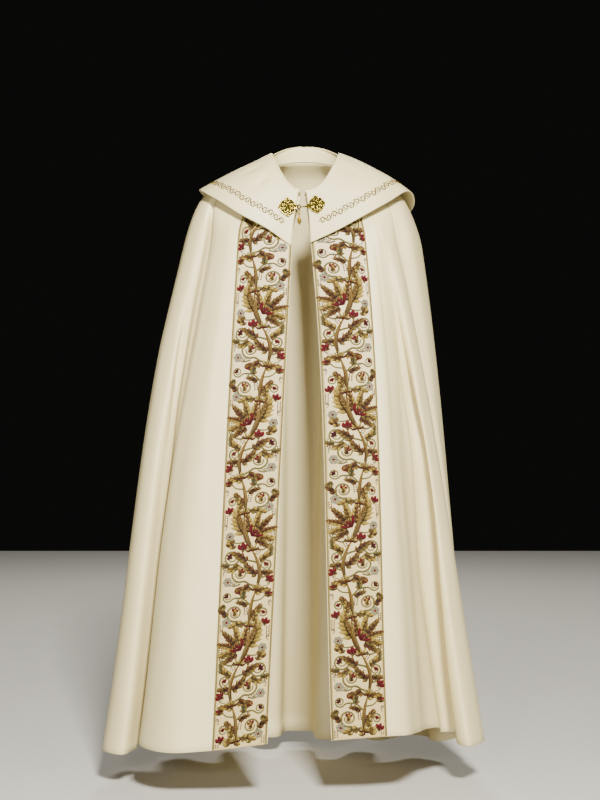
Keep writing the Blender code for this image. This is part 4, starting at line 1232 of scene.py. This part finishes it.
def half_repeat():
    """Half of the bands' repeat: the other half is the same, mirrored side to side."""
    d = Design()
    gold = ("old gold", "bright gold")
    brown = ("copper silk", "old gold")
    dark = ("olive silk", "old gold")

    def spine(y):
        """Place of the main stem at a height."""
        phase = math.pi * y / HALF_REPEAT
        return np.array([STEM_SWING * math.cos(phase) + STEM_SWAY * math.sin(3 * phase), y])

    # Rolled stems behind everything else
    for path, centre, radius, side, width in (
            ((spine(6), (10, 10), (-8, 19)), (-16, 38), 20, -1, 4.2),
            ((spine(60), (6, 66), (-16, 63)), (-36, 76), 18, -1, 3.8),
            ((spine(24), (40, 28), (49, 42)), (40, 54), 13, 1, 3.4),
            ((spine(186), (2, 184), (20, 188)), (24, 208), 19, 1, 4.2),
            ((spine(222), (8, 240), (30, 238)), (42, 246), 12, 1, 3.2),
            ((spine(176), (-24, 188), (-30, 200)), (-39, 204), 12, 1, 3.4),
            ((spine(96), (34, 90), (46, 96)), (45, 108), 11, 1, 3.2)):
        d.volute(path, centre, radius, side, width * VOLUTE_FULLER)
    for stem in (
            ((-14, 14), (-28, 10), (-42, 16)),
            (spine(232), (-34, 236), (-44, 246)),
            (spine(112), (-22, 108), (-44, 112)),
            ((2, 184), (26, 176), (44, 182)),
            ((-14, 62), (-14, 76), (-10, 92))):
        d.stem("olive silk", stem, (3.4, 2.4), height=1.0)

    # Leaves of the stems
    for base, angle, length, width, bend, threads in (
            ((8, 8), 214, 32, 16, -46, brown),
            ((-18, 60), 236, 30, 15, -60, gold),
            ((-2, 62), 128, 40, 17, 34, brown),
            ((-40, 58), 196, 20, 12, -50, dark),
            ((-34, 94), 96, 26, 13, 56, gold),
            ((-48, 100), 60, 22, 12, -40, brown),
            (spine(40) + (3, 0), -34, 26, 14, 60, brown),
            (spine(66) + (4, 0), 20, 30, 15, 46, gold),
            ((50, 72), 96, 24, 12, -30, dark),
            (spine(200), 160, 34, 16, -52, brown),
            ((-24, 186), 70, 28, 13, 46, gold),
            ((4, 186), -30, 34, 15, 40, gold),
            ((42, 200), 60, 30, 14, -40, brown),
            ((8, 240), 110, 26, 13, -50, dark),
            (spine(250), 150, 30, 14, 40, gold),
            ((-4, 222), 40, 26, 12, -36, brown),
            ((46, 228), -40, 18, 11, 30, dark),
            ((-52, 238), 84, 24, 12, -30, brown)):
        d.leaf(base, angle, length * LEAF_LONGER, width * LEAF_WIDER, bend, threads)
    d.leaf(spine(126) + (-3, 0), 128, 72, 32, -44, gold)
    d.leaf(spine(28) + (-4, 4), 152, 46, 20, -40, brown)

    # The stem itself, in three sheathed lengths
    for start, end, full in ((-4, 98, 9.5), (84, 182, 12.5), (168, 262, 9.5)):
        places = [spine(y) for y in np.linspace(start, end, 7)]
        widths = (3.4, full * 0.8, full, full * 0.85, 4.6, 2.6)
        d.stem("old gold", places, widths, height=1.8, count=40, lift=0.2, tint=(-0.10, 0.95))
        for shift, thread in ((-0.27, "copper silk"), (0.02, "bright gold"), (0.29, "bright gold")):
            beside = [spine(y) + (shift * full, 0) for y in np.linspace(start + 14, end - 30, 5)]
            d.stem(thread, beside, (0.8, 1.5, 0.8), height=0.6, count=18, lift=1.6, tint=(0.2, 1.0))
    for y in (90, 176, 258):
        foot = spine(y)
        for away in (-70, -38, 0, 38, 70):
            tip = foot + heading(100 + away) * 16
            middle = foot + heading(100 + away * 1.35) * 9
            sheath = "copper silk" if abs(away) > 45 else "bright gold"
            d.petal(
                sheath, [foot, middle, tip], width=4.6,
                height=1.3, count=8, fullest=0.5, lift=1.3, tint=(-0.2, 0.9))
        d.knot("crimson silk", foot, radius=2.4, height=1.3, lift=2.2)

    # The large fan and the flowers
    d.palmette((6, 122), 46, 66, ("copper silk", "old gold", "bright gold"), "crimson silk")
    d.leaf((-16, 30), 80, 17, 12, 20, brown)
    d.leaf((24, 200), 100, 17, 12, -20, gold)
    d.flower((-43, 20), 11.5, 6, "silver thread", "crimson silk", 0)
    d.flower((42, 188), 11.5, 6, "silver thread", "crimson silk", 20)
    d.flower((-42, 124), 11.0, 6, "silver thread", "burgundy silk", 10)
    for spot, angle, size, thread in (
            ((-15, 40), 60, 12, "crimson silk"),
            ((25, 210), 110, 12, "crimson silk"),
            ((-37, 76), 150, 12, "burgundy silk"),
            ((40, 53), 60, 9, "crimson silk"),
            ((42, 246), 40, 9, "burgundy silk"),
            ((-39, 203), 120, 8, "crimson silk"),
            ((45, 108), 50, 7, "burgundy silk"),
            ((-10, 92), 96, 19, "crimson silk"),
            ((-44, 246), 130, 17, "crimson silk"),
            ((46, 18), 40, 17, "crimson silk"),
            ((14, 252), 80, 17, "crimson silk"),
            ((-44, 178), 110, 16, "crimson silk")):
        d.trefoil(spot, angle, size, thread)

    # Berries and tendrils
    for spot, angle, count in (
            ((-53, 50), 84, 5), ((12, 40), 100, 4), ((54, 122), 92, 5), ((-2, 204), 84, 5),
            ((-53, 150), 88, 6), ((20, 80), 60, 4), ((53, 168), 90, 4)):
        d.berries(spot, angle, count)
    for spot, angle, size, side in (
            ((38, 6), 10, 18, 1), ((-52, 34), 100, 17, -1), ((-30, 112), 200, 16, 1),
            ((52, 88), 80, 16, 1), ((-20, 22), 236, 16, -1), ((6, 52), 150, 15, 1),
            ((50, 216), 60, 16, 1), ((-54, 218), 70, 16, 1), ((-14, 172), 120, 18, 1),
            ((24, 232), 150, 15, -1), ((-28, 256), 60, 17, 1), ((-54, 140), 60, 14, 1)):
        d.tendril(spot, angle, size, side)
    return d.strokes


def lay_strokes(name, strokes, patch, relief, finishes, body):
    """Lays strokes on a surface: one piece for each thread or metal, raised by its own height."""
    x = (patch.across[0] + patch.across[-1]) / 2
    y = (patch.along[0] + patch.along[-1]) / 2
    probe, facing = patch.read(np.array([x, x + MM, x]), np.array([y, y, y + MM]))
    turned = np.dot(np.cross(probe[1] - probe[0], probe[2] - probe[0]), facing[0]) < 0
    for kind, finish in finishes.items():
        mine = [s for s in strokes if s.thread == kind]
        if not mine:
            continue
        plane, rise, uv, tint, faces = [], [], [], [], []
        start = 0
        for s in mine:
            count = len(s.line)
            across, dome = np.array(LOW_DOME if s.height <= LOW_HEIGHT else DOME).T
            ahead = np.gradient(s.line, axis=0)
            ahead /= np.maximum(1e-9, np.linalg.norm(ahead, axis=1))[:, None]
            left = np.stack([-ahead[:, 1], ahead[:, 0]], axis=1)
            spread = s.half_width[:, None] * across[None, :]
            plane.append((s.line[:, None] + left[:, None] * spread[..., None]).reshape(-1, 2))
            fullness = np.clip(s.half_width / max(NARROWEST, s.half_width.max()), 0, 1) ** FULLNESS
            top = s.height * fullness[:, None] * dome[None, :] + s.lift * (dome[None, :] > 0)
            rise.append((top - SUNK * (dome[None, :] == 0)).ravel())
            along = np.repeat(run_length(s.line)[:, None], len(dome), axis=1)
            uv.append(np.stack([along, spread], axis=2).reshape(-1, 2))
            # painted shade: every stroke darkens towards its foot on both sides, so its ridge stays lighter
            tint.append((s.tint[:, None] - PAINTED_FOOT_SHADE * (1 - dome[None, :])).ravel())
            quads = grid_quads(start + np.arange(count * len(dome)).reshape(count, len(dome)))
            faces.append(quads[:, ::-1] if turned else quads)
            start += count * len(dome)
        plane = np.concatenate(plane) * MM
        height = np.concatenate(rise) * MM * relief
        points, normals = patch.read(plane[:, 0], plane[:, 1])
        piece = mesh_piece(
            f"{name}_{kind.replace(' ', '_')}", points + normals * height[:, None],
            np.concatenate(faces), finish, np.concatenate(uv) * MM, np.concatenate(tint))
        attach(piece, body)


def wound_threads():
    """The finish of every thread by its name, each made only once."""
    made = bpy.data.materials
    return {t.name: made.get(t.name) or stitched_thread(*t, STITCH_PITCH) for t in THREADS}


class COPE_OT_embroidery(bpy.types.Operator):
    """Embroiders the two bands, each the mirror image of the other"""

    bl_idname = "cope.embroidery"
    bl_label = "Embroidery"

    def execute(self, context):
        threads = wound_threads()
        half = half_repeat()
        for side in SIDES:
            patch = band_patch(side)
            top = patch.along[-1] / MM - BAND_TOP_MARGIN
            strokes = []
            for k in range(-1, int(top / HALF_REPEAT) + 1):
                mirror = np.array([-1.0 if k % 2 else 1.0, 1.0])
                shift = np.array([0.0, k * HALF_REPEAT + FIRST_REPEAT])
                for s in half:
                    line = s.line * mirror + shift
                    if line[:, 1].max() < top and line[:, 1].min() > BAND_FOOT_MARGIN:
                        strokes.append(s._replace(line=line))
            relief = context.scene.cope_band.relief / PADDING
            lay_strokes(f"embroidery_{side}", strokes, patch, relief, threads, BODY)
        return {"FINISHED"}


def running_scroll(length):
    """Half of the collar's scroll: a waved thread with a curl in every wave."""
    d = Design()
    count = int((length - SCROLL_FRONT_GAP) / SCROLL_PITCH)
    first = length - count * SCROLL_PITCH
    along = np.linspace(first, length, count * 8)
    wave = SCROLL_INSET + SCROLL_SWAY * np.sin(math.pi * (along - first) / SCROLL_PITCH)
    d.stroke("scroll gold", np.stack([along, wave], axis=1), half_width=1.4, height=0.8, tint=(0.5, 0.5))
    reach = SCROLL_CURL * np.linspace(1.0, 0.0, SCROLL_POINTS) ** 0.75 + SCROLL_EYE
    width = np.linspace(1.35, 1.6, SCROLL_POINTS)
    for k in range(count):
        up = -1 if k % 2 else 1
        centre = np.array([first + (k + 0.5) * SCROLL_PITCH, SCROLL_INSET])
        curl = curled(centre, 180, -up * SCROLL_TURN, reach)
        d.stroke("scroll gold", curl, width, height=0.9, lift=0.1, tint=(0.4, 0.6))
        bud = centre + (SCROLL_PITCH * 0.52, up * 5.4)
        leaf_line = smooth_line([bud, bud + (1.6, up * 1.8), bud + (4.2, up * 2.6)], 6)
        d.stroke("scroll gold", leaf_line, petal_width(6) * 1.3, height=0.8, tint=(0.3, 0.4))
    return d.strokes


class COPE_OT_scroll(bpy.types.Operator):
    """Embroiders the running scroll that follows the collar's outer edge"""

    bl_idname = "cope.scroll"
    bl_label = "Collar scroll"

    def execute(self, context):
        patch = collar_patch()
        whole = patch.across[-1] / MM
        half = running_scroll(whole / 2)
        strokes = half + [s._replace(line=s.line * (-1.0, 1.0) + (whole, 0.0)) for s in half]
        lay_strokes("collar_scroll", strokes, patch, 1.0, wound_threads(), BODY)
        return {"FINISHED"}


# ---------------------------------------------------------------- cloth pieces

class COPE_OT_cloak(bpy.types.Operator):
    """Makes the cloak: one cloth wall with its folds and a turned hem"""

    bl_idname = "cope.cloak"
    bl_label = "Cloak"

    def execute(self, context):
        cloth = context.scene.cope_cloth
        across = cloak_columns()
        down = np.concatenate([
            np.linspace(0, CHEST_ROW, CLOAK_SHOULDER_ROWS, endpoint=False),
            np.linspace(CHEST_ROW, 1 - HEM_TURN, CLOAK_FALL_ROWS, endpoint=False),
            [1 - HEM_TURN * share for share in HEM_ROWS]])
        grid, normals = fine_cope(across, down)
        turned = np.where(down > 1 - HEM_TURN * HEM_STEP, HEM_EXTRA, 0.0)
        inner = CLOTH_WALL / 2 + turned[None, :]
        vertices, faces, uv = shell(grid, normals, CLOTH_WALL / 2, inner)
        finish = ivory_twill("ivory wool twill, woven", cloth.ivory, cloth.warm_ivory, cloth.twill)
        cloak = mesh_piece("cloak", vertices, faces, finish, uv)
        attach(cloak, BODY)
        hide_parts("body_cloth")
        return {"FINISHED"}


class COPE_OT_collar(bpy.types.Operator):
    """Makes the cape collar, turned over its stand"""

    bl_idname = "cope.collar"
    bl_label = "Collar"

    def execute(self, context):
        cloth = context.scene.cope_cloth
        grid, normals = fine_collar()
        vertices, faces, uv = shell(grid, normals, COLLAR_WALL / 2, COLLAR_WALL / 2)
        finish = ivory_twill("ivory wool twill, doubled", cloth.ivory, cloth.warm_ivory, cloth.twill)
        collar = mesh_piece("cape_collar", vertices, faces, finish, uv)
        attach(collar, BODY)
        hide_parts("collar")
        return {"FINISHED"}


class COPE_OT_bands(bpy.types.Operator):
    """Makes the satin of the two front bands"""

    bl_idname = "cope.bands"
    bl_label = "Satin bands"

    def execute(self, context):
        band = context.scene.cope_band
        finish = ivory_satin("ivory silk satin, woven", band.satin)
        for side in SIDES:
            grid, normals = band_grid(
                side, BRAID_WIDTH, BAND_WIDTH - BRAID_WIDTH, SATIN_COLUMNS, BAND_LIFT)
            vertices, faces, uv = shell(grid, normals, BAND_WALL / 2, BAND_WALL / 2)
            satin = mesh_piece(f"satin_band_{side}", vertices, faces, finish, uv)
            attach(satin, BODY)
            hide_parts(f"orphrey_{side}")
        return {"FINISHED"}


class COPE_OT_braids(bpy.types.Operator):
    """Plaits the four gold braids that edge the bands"""

    bl_idname = "cope.braids"
    bl_label = "Gold braids"

    def execute(self, context):
        finish = plaited_gold("gold-wrapped cord, plaited", context.scene.cope_band.braid)
        for side in SIDES:
            make_braid(side, "inner", BRAID_WIDTH / 2, finish)
            make_braid(side, "outer", BAND_WIDTH - BRAID_WIDTH / 2, finish)
        return {"FINISHED"}


def make_braid(side, edge, middle, finish):
    """One flat three-strand plait laid along an edge of a band."""
    grid, normals = band_grid(
        side, middle - BRAID_PROBE, middle + BRAID_PROBE, 2, CLOTH_WALL / 2 + SEAM_GAP)
    centre = grid[:, ::-1].mean(axis=0)
    normal = normals[:, ::-1].mean(axis=0)
    run = run_length(centre)
    count = int(run[-1] / PLAIT_STEP) + 1
    places = np.linspace(0, run[-1], count)
    centre = read_rows(centre, run, places)
    normal = read_rows(normal, run, places)
    along = np.gradient(centre, axis=0)
    along /= np.linalg.norm(along, axis=1)[:, None]
    beside = np.cross(along, normal)
    beside /= np.linalg.norm(beside, axis=1)[:, None]
    vertices = []
    faces = []
    uvs = []
    start = 0
    for strand in range(STRANDS):
        phase = 2 * math.pi * (places / PLAIT_PERIOD + strand / STRANDS)
        sway = PLAIT_SWAY * np.sin(phase)
        rise = BRAID_WALL / 2 + PLAIT_RISE * np.sin(2 * phase)
        path = centre + beside * sway[:, None] + normal * rise[:, None]
        for k in range(STRAND_SIDES):
            turn = 2 * math.pi * k / STRAND_SIDES
            aside = beside * (STRAND_HALF_WIDTH * math.cos(turn))
            vertices.append(path + (aside + normal * (STRAND_HALF_DEPTH * math.sin(turn))))
            uvs.append(np.stack([places, np.full(count, k * STRAND_HALF_WIDTH)], axis=1))
        ids = start + np.arange(count * STRAND_SIDES).reshape(STRAND_SIDES, count)
        faces.append(grid_quads(np.concatenate([ids, ids[:1]]).T))
        start += count * STRAND_SIDES
    braid = mesh_piece(
        f"plait_{edge}_{side}", np.concatenate(vertices), np.concatenate(faces), finish,
        np.concatenate(uvs))
    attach(braid, BODY)
    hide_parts(f"braid_{edge}_{side}")


# ---------------------------------------------------------------- clasp

def plate_frame(plate):
    """Where a plate lies on the collar: middle of its back, its two directions and its normal."""
    spot, normal = collar_spot(plate.x, plate.z)
    right = np.cross(normal, [0.0, 0.0, 1.0])
    right /= np.linalg.norm(right)
    if right[0] < 0:
        right = -right
    upwards = np.cross(right, -normal)
    if upwards[2] < 0:
        upwards = -upwards
    turn = math.radians(plate.turn)
    local_x = right * math.cos(turn) + upwards * math.sin(turn)
    local_y = upwards * math.cos(turn) - right * math.sin(turn)
    return spot + normal * (COLLAR_WALL / 2 + PLATE_LIFT), local_x, local_y, normal


def plate_relief(half_diagonal):
    """Rim, corner scrolls, side leaves, beads and rose of a plate, as strokes of metal in mm."""
    d = Design()
    size = half_diagonal / MM
    angles = np.linspace(0, 2 * math.pi, PLATE_SIDES + 1)
    edge = np.array([plate_outline(a, size) for a in angles])
    ring = np.stack([np.cos(angles), np.sin(angles)], axis=1)
    d.stroke(POLISHED, ring * (edge * 0.955)[:, None], half_width=1.0, height=1.5, tint=(0.8, 0.8))
    for corner in range(PLATE_CORNERS):
        angle = 360 * corner / PLATE_CORNERS
        out, beside = heading(angle), heading(angle + 90)
        for side in (-1, 1):
            centre = out * size * 0.64 + beside * side * 3.5
            curl = curled(centre, angle + 180 + side * 40, -side * 330, np.linspace(3.1, 2.2, 24))
            d.stroke(POLISHED, curl, np.linspace(0.95, 0.65, 24), height=1.6, lift=0.2)
            d.knot(POLISHED, centre, radius=0.8, height=1.4, lift=0.2)
        d.knot(POLISHED, out * size * 0.83, radius=1.5, height=1.9, lift=0.2)
        d.knot(POLISHED, out * size * 0.49, radius=1.2, height=1.7, lift=0.2)
        middle = angle + 180 / PLATE_CORNERS
        foot = heading(middle) * size * 0.44
        for turn in (-17, 17):
            tip = heading(middle + turn) * size * 0.70
            line = smooth_line([foot, heading(middle + turn * 0.9) * size * 0.57, tip], 8)
            d.stroke(POLISHED, line, petal_width(8, fullest=0.6) * 1.5, height=1.5, lift=0.2)
    for petals, reach, width, lift, turn in (
            (6, 0.44, 5.6, 0.7, 12), (5, 0.29, 4.2, 1.7, 40), (3, 0.15, 3.0, 2.7, 8)):
        for k in range(petals):
            out = heading(turn + 360 * k / petals)
            swirl = heading(turn + 360 * k / petals + 50)
            line = smooth_line([out * size * reach * 0.45, out * size * reach * 0.9, swirl * size * reach], 9)
            d.stroke(POLISHED, line, petal_width(9, fullest=0.6) * width / 2, height=1.7, lift=lift)
    return d.strokes


def make_plate(plate, finishes):
    """A cast lozenge: a sunk dark floor, and its relief."""
    base, local_x, local_y, normal = plate_frame(plate)
    angles = [2 * math.pi * k / PLATE_SIDES for k in range(PLATE_SIDES)]
    outline = [plate_outline(a, plate.half_diagonal) for a in angles]
    spots = [base + normal * PLATE_FLOOR]
    for share, height in PLATE_PROFILE:
        for angle, radius in zip(angles, outline):
            flat = local_x * math.cos(angle) + local_y * math.sin(angle)
            spots.append(base + flat * radius * share + normal * height)
    spots.append(base)
    faces = ring_triangles(len(PLATE_PROFILE), PLATE_SIDES)
    if np.dot(np.cross(local_x, local_y), normal) < 0:
        faces = faces[:, ::-1]
    floor = mesh_piece(f"{plate.name}_floor", spots, faces, finishes[DARK_FLOOR])
    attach(floor, BODY)
    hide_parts(plate.name)
    patch = flat_patch(base + normal * PLATE_FLOOR, local_x, local_y, normal)
    strokes = plate_relief(plate.half_diagonal)
    lay_strokes(f"{plate.name}_relief", strokes, patch, 1.0, finishes, BODY)


def pendant_relief():
    """Rim, scrolls and beads of one face of the drop, in mm, y up from the drop's top."""
    d = Design()
    below = np.array([row.below for row in DROP_PROFILE]) / MM
    radius = np.array([row.radius for row in DROP_PROFILE]) / MM
    places = np.linspace(10.5, 30.0, 22)
    for side in (-1, 1):
        edge = np.interp(places, below, radius) * 0.80
        d.stroke(POLISHED, np.stack([side * edge, -places], axis=1), half_width=0.42, height=0.7)
        for spot, reach, way in ((14.5, 1.35, 1), (19.5, 1.8, -1), (24.5, 1.45, 1)):
            centre = (side * reach * 0.95, -spot)
            curl = curled(centre, 90 * way, -side * way * 400, np.linspace(reach, 0.4, 18))
            d.stroke(POLISHED, curl, half_width=0.32, height=0.8, lift=0.1)
    for spot, size in ((4.0, 1.2), (11.5, 0.7), (17.0, 0.8), (22.3, 0.9), (27.0, 0.7), (29.6, 0.6)):
        d.knot(POLISHED, (0, -spot), size, height=1.0, lift=0.2)
    return d.strokes


def make_pendant(finishes, antique):
    """The hanging drop: a smooth flattened body with relief on both faces."""
    low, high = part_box("pendant_drop")
    middle = (low + high) / 2
    top = np.array([middle.x, middle.y, high.z])
    below = np.array([row.below for row in DROP_PROFILE])
    radius = np.array([[row.radius] for row in DROP_PROFILE])
    places = np.linspace(0, below[-1], DROP_ROWS)
    around = spline(below, radius, places)[:, 0]
    spots = []
    for place, reach in zip(places, around):
        for k in range(DROP_SIDES):
            angle = 2 * math.pi * k / DROP_SIDES
            flat = (reach * math.cos(angle), reach * math.sin(angle) * PENDANT_THICKNESS, -place)
            spots.append(top + flat)
    ids = np.arange(DROP_ROWS * DROP_SIDES).reshape(DROP_ROWS, DROP_SIDES)
    faces = grid_quads(np.concatenate([ids, ids[:, :1]], axis=1))
    drop = mesh_piece("pendant_body", spots, faces, antique)
    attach(drop, SWINGING_BODY)
    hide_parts("pendant_drop")
    for face, way, height in (("front", -1.0, 1.0), ("back", 1.0, 0.6)):
        normal = np.array([0.0, way, 0.0])
        rightwards, upwards = np.array([1.0, 0.0, 0.0]), np.array([0.0, 0.0, 1.0])
        patch = flat_patch(top + normal * PENDANT_FACE, rightwards, upwards, normal)
        lay_strokes(
            f"pendant_{face}", pendant_relief(), patch, height, finishes, SWINGING_BODY)


def make_link(cast, points, finish):
    """A cast link in a bent wire's place: its radii, in mm, hold at shares of its length."""
    node, shares, radii, beads = cast
    path = smooth_line(points, LINK_POINTS)
    share = np.linspace(0, 1, LINK_POINTS)
    thick = np.interp(share, shares, radii) * MM
    beaded = np.sin(math.pi * beads * share) ** 2 * (thick > WIRE_RADIUS * BEADED_FROM)
    thick *= 1 + BEAD_SWELL * beaded
    ahead = np.gradient(path, axis=0)
    ahead /= np.linalg.norm(ahead, axis=1)[:, None]
    turn = np.linspace(0, 2 * math.pi, LINK_SIDES, endpoint=False)
    upright = np.array([0.0, 0.0, 1.0])
    spots = [path[:1]]
    for place, way, reach in zip(path, ahead, thick):
        upright = upright - way * np.dot(upright, way)
        upright /= np.linalg.norm(upright)
        beside = np.cross(way, upright)
        spots.append(place + (np.cos(turn)[:, None] * upright + np.sin(turn)[:, None] * beside) * reach)
    spots = np.concatenate(spots + [path[-1:]])
    faces = ring_triangles(LINK_POINTS, LINK_SIDES)[:, ::-1]
    link = mesh_piece(f"{node}_cast", spots, faces, finish)
    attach(link, BODY)
    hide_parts(node)


def eye_points():
    """The eye's tail and ring."""
    turns = np.radians(EYE_START_ANGLE - np.linspace(0, EYE_TURN, 2 * EYE_STEPS))
    ring = [np.array(EYE_CENTRE) + EYE_RADIUS * np.array([math.cos(a), 0, math.sin(a)]) for a in turns]
    return [np.array(spot) for spot in EYE_TAIL] + ring


def hook_points():
    """The hook, from the right plate over the eye's wire, through the eye and back."""
    x, y, z = EYE_CENTRE
    bends = np.linspace(0, math.pi, HOOK_STEPS + 1)
    bend = [(x + EYE_RADIUS - HOOK_BEND * math.sin(a), y - HOOK_BEND * math.cos(a), z) for a in bends]
    spots = list(HOOK_TAIL) + [(0.0, y - HOOK_BEND, z)] + bend + [(HOOK_END_X, y + HOOK_BEND, z)]
    return [np.array(spot) for spot in spots]


class COPE_OT_clasp(bpy.types.Operator):
    """Makes the two filigree plates, the hook and eye and the drop, and gilds the rings"""

    bl_idname = "cope.clasp"
    bl_label = "Clasp"

    def execute(self, context):
        metal = context.scene.cope_clasp
        finishes = {
            POLISHED: cast_gilt("gilded brass, cast and polished", metal.gold, roughness=0.24),
            DARK_FLOOR: cast_gilt("gilded brass, dark sunk floor", metal.recess, roughness=0.5),
        }
        antique = cast_gilt("gilded brass, worn brown", metal.antique, roughness=0.34)
        make_plate(LEFT_PLATE, finishes)
        make_plate(RIGHT_PLATE, finishes)
        make_pendant(finishes, antique)
        make_link(EYE_CAST, eye_points(), antique)
        make_link(HOOK_CAST, hook_points(), antique)
        for name in ("pendant_loop", "pendant_ring"):
            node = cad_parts[name]
            node.data.materials.clear()
            node.data.materials.append(antique)
        return {"FINISHED"}


# ---------------------------------------------------------------- stage

class COPE_OT_stage(bpy.types.Operator):
    """Makes the pale floor, the soft studio lights and the camera"""

    bl_idname = "cope.stage"
    bl_label = "Stage"

    def execute(self, context):
        stage = context.scene.cope_stage
        scene = context.scene
        made, tree, shader = new_finish("matt painted floor", Roughness=0.8)
        place = add_node(tree, "ShaderNodeTexCoord").outputs["Object"]
        mottle = add_node(tree, "ShaderNodeTexNoise", {"Scale": 3.0, "Detail": 5.0}, {"Vector": place})
        tone = add_node(
            tree, "ShaderNodeMix",
            {"data_type": "RGBA", 6: tuple(stage.floor), 7: shaded(stage.floor, 0.96)},
            {0: mottle.outputs["Fac"]})
        tree.links.new(tone.outputs[2], shader.inputs["Base Color"])
        corners = [
            (x * FLOOR_REACH, y * FLOOR_REACH, -stage.floor_height)
            for x, y in ((-1, -1), (1, -1), (1, 1), (-1, 1))]
        ground = mesh_piece("floor", corners, [(0, 1, 2, 3)], made)

        world = bpy.data.worlds.new("studio")
        world.use_nodes = True
        background = world.node_tree.nodes["Background"]
        background.inputs["Color"].default_value = tuple(stage.floor)
        background.inputs["Strength"].default_value = WORLD_LIGHT
        scene.world = world
        for lamp in LAMPS:
            light = bpy.data.lights.new(lamp.name, "AREA")
            light.shape = "RECTANGLE"
            light.size = lamp.width
            light.size_y = lamp.height
            light.energy = lamp.watts
            light.color = LAMP_TINT
            holder = place_object(lamp.name, light, (lamp.x, lamp.y, lamp.z))
            aim = Vector(LAMP_AIM) - holder.location
            holder.rotation_euler = aim.to_track_quat("-Z", "Y").to_euler()

        eye = bpy.data.cameras.new("camera")
        eye.lens = CAMERA_LENS
        eye.sensor_fit = "VERTICAL"
        eye.sensor_height = CAMERA_SENSOR
        eye.shift_y = CAMERA_SHIFT
        scene.camera = place_object("camera", eye, CAMERA_PLACE)
        scene.camera.rotation_euler = (math.pi / 2, 0.0, 0.0)
        return {"FINISHED"}


class COPE_PT_panel(bpy.types.Panel):
    """The pieces of the cope and their settings"""

    bl_label = "Cope"
    bl_idname = "COPE_PT_panel"
    bl_space_type = "VIEW_3D"
    bl_region_type = "UI"
    bl_category = "Cope"

    def draw(self, context):
        for title, group, operators in PANEL_ROWS:
            box = self.layout.box()
            box.label(text=title)
            settings = getattr(context.scene, group)
            for name in settings.bl_rna.properties.keys():
                if name not in ("rna_type", "name"):
                    box.prop(settings, name)
            for operator in operators:
                box.operator(operator.bl_idname)


PANEL_ROWS = (
    ("Cloth", "cope_cloth", (COPE_OT_cloak, COPE_OT_collar)),
    ("Bands", "cope_band", (COPE_OT_bands, COPE_OT_braids, COPE_OT_embroidery, COPE_OT_scroll)),
    ("Clasp", "cope_clasp", (COPE_OT_clasp,)),
    ("Stage", "cope_stage", (COPE_OT_stage,)),
)
SETTINGS = (
    ("cope_cloth", ClothSettings),
    ("cope_band", BandSettings),
    ("cope_clasp", ClaspSettings),
    ("cope_stage", StageSettings),
)


def register():
    """Adds the settings, operators and panel to Blender."""
    for name, group in SETTINGS:
        bpy.utils.register_class(group)
        setattr(bpy.types.Scene, name, bpy.props.PointerProperty(type=group))
    for _, _, operators in PANEL_ROWS:
        for operator in operators:
            bpy.utils.register_class(operator)
    bpy.utils.register_class(COPE_PT_panel)


def unregister():
    """Takes the settings, operators and panel away again."""
    bpy.utils.unregister_class(COPE_PT_panel)
    for _, _, operators in PANEL_ROWS:
        for operator in operators:
            bpy.utils.unregister_class(operator)
    for name, group in SETTINGS:
        delattr(bpy.types.Scene, name)
        bpy.utils.unregister_class(group)


def main():
    """Makes every piece, in order."""
    register()
    bpy.ops.cope.stage()
    bpy.ops.cope.cloak()
    bpy.ops.cope.collar()
    bpy.ops.cope.bands()
    bpy.ops.cope.braids()
    bpy.ops.cope.embroidery()
    bpy.ops.cope.scroll()
    bpy.ops.cope.clasp()
    bpy.context.view_layer.update()


if __name__ == "__main__":
    main()
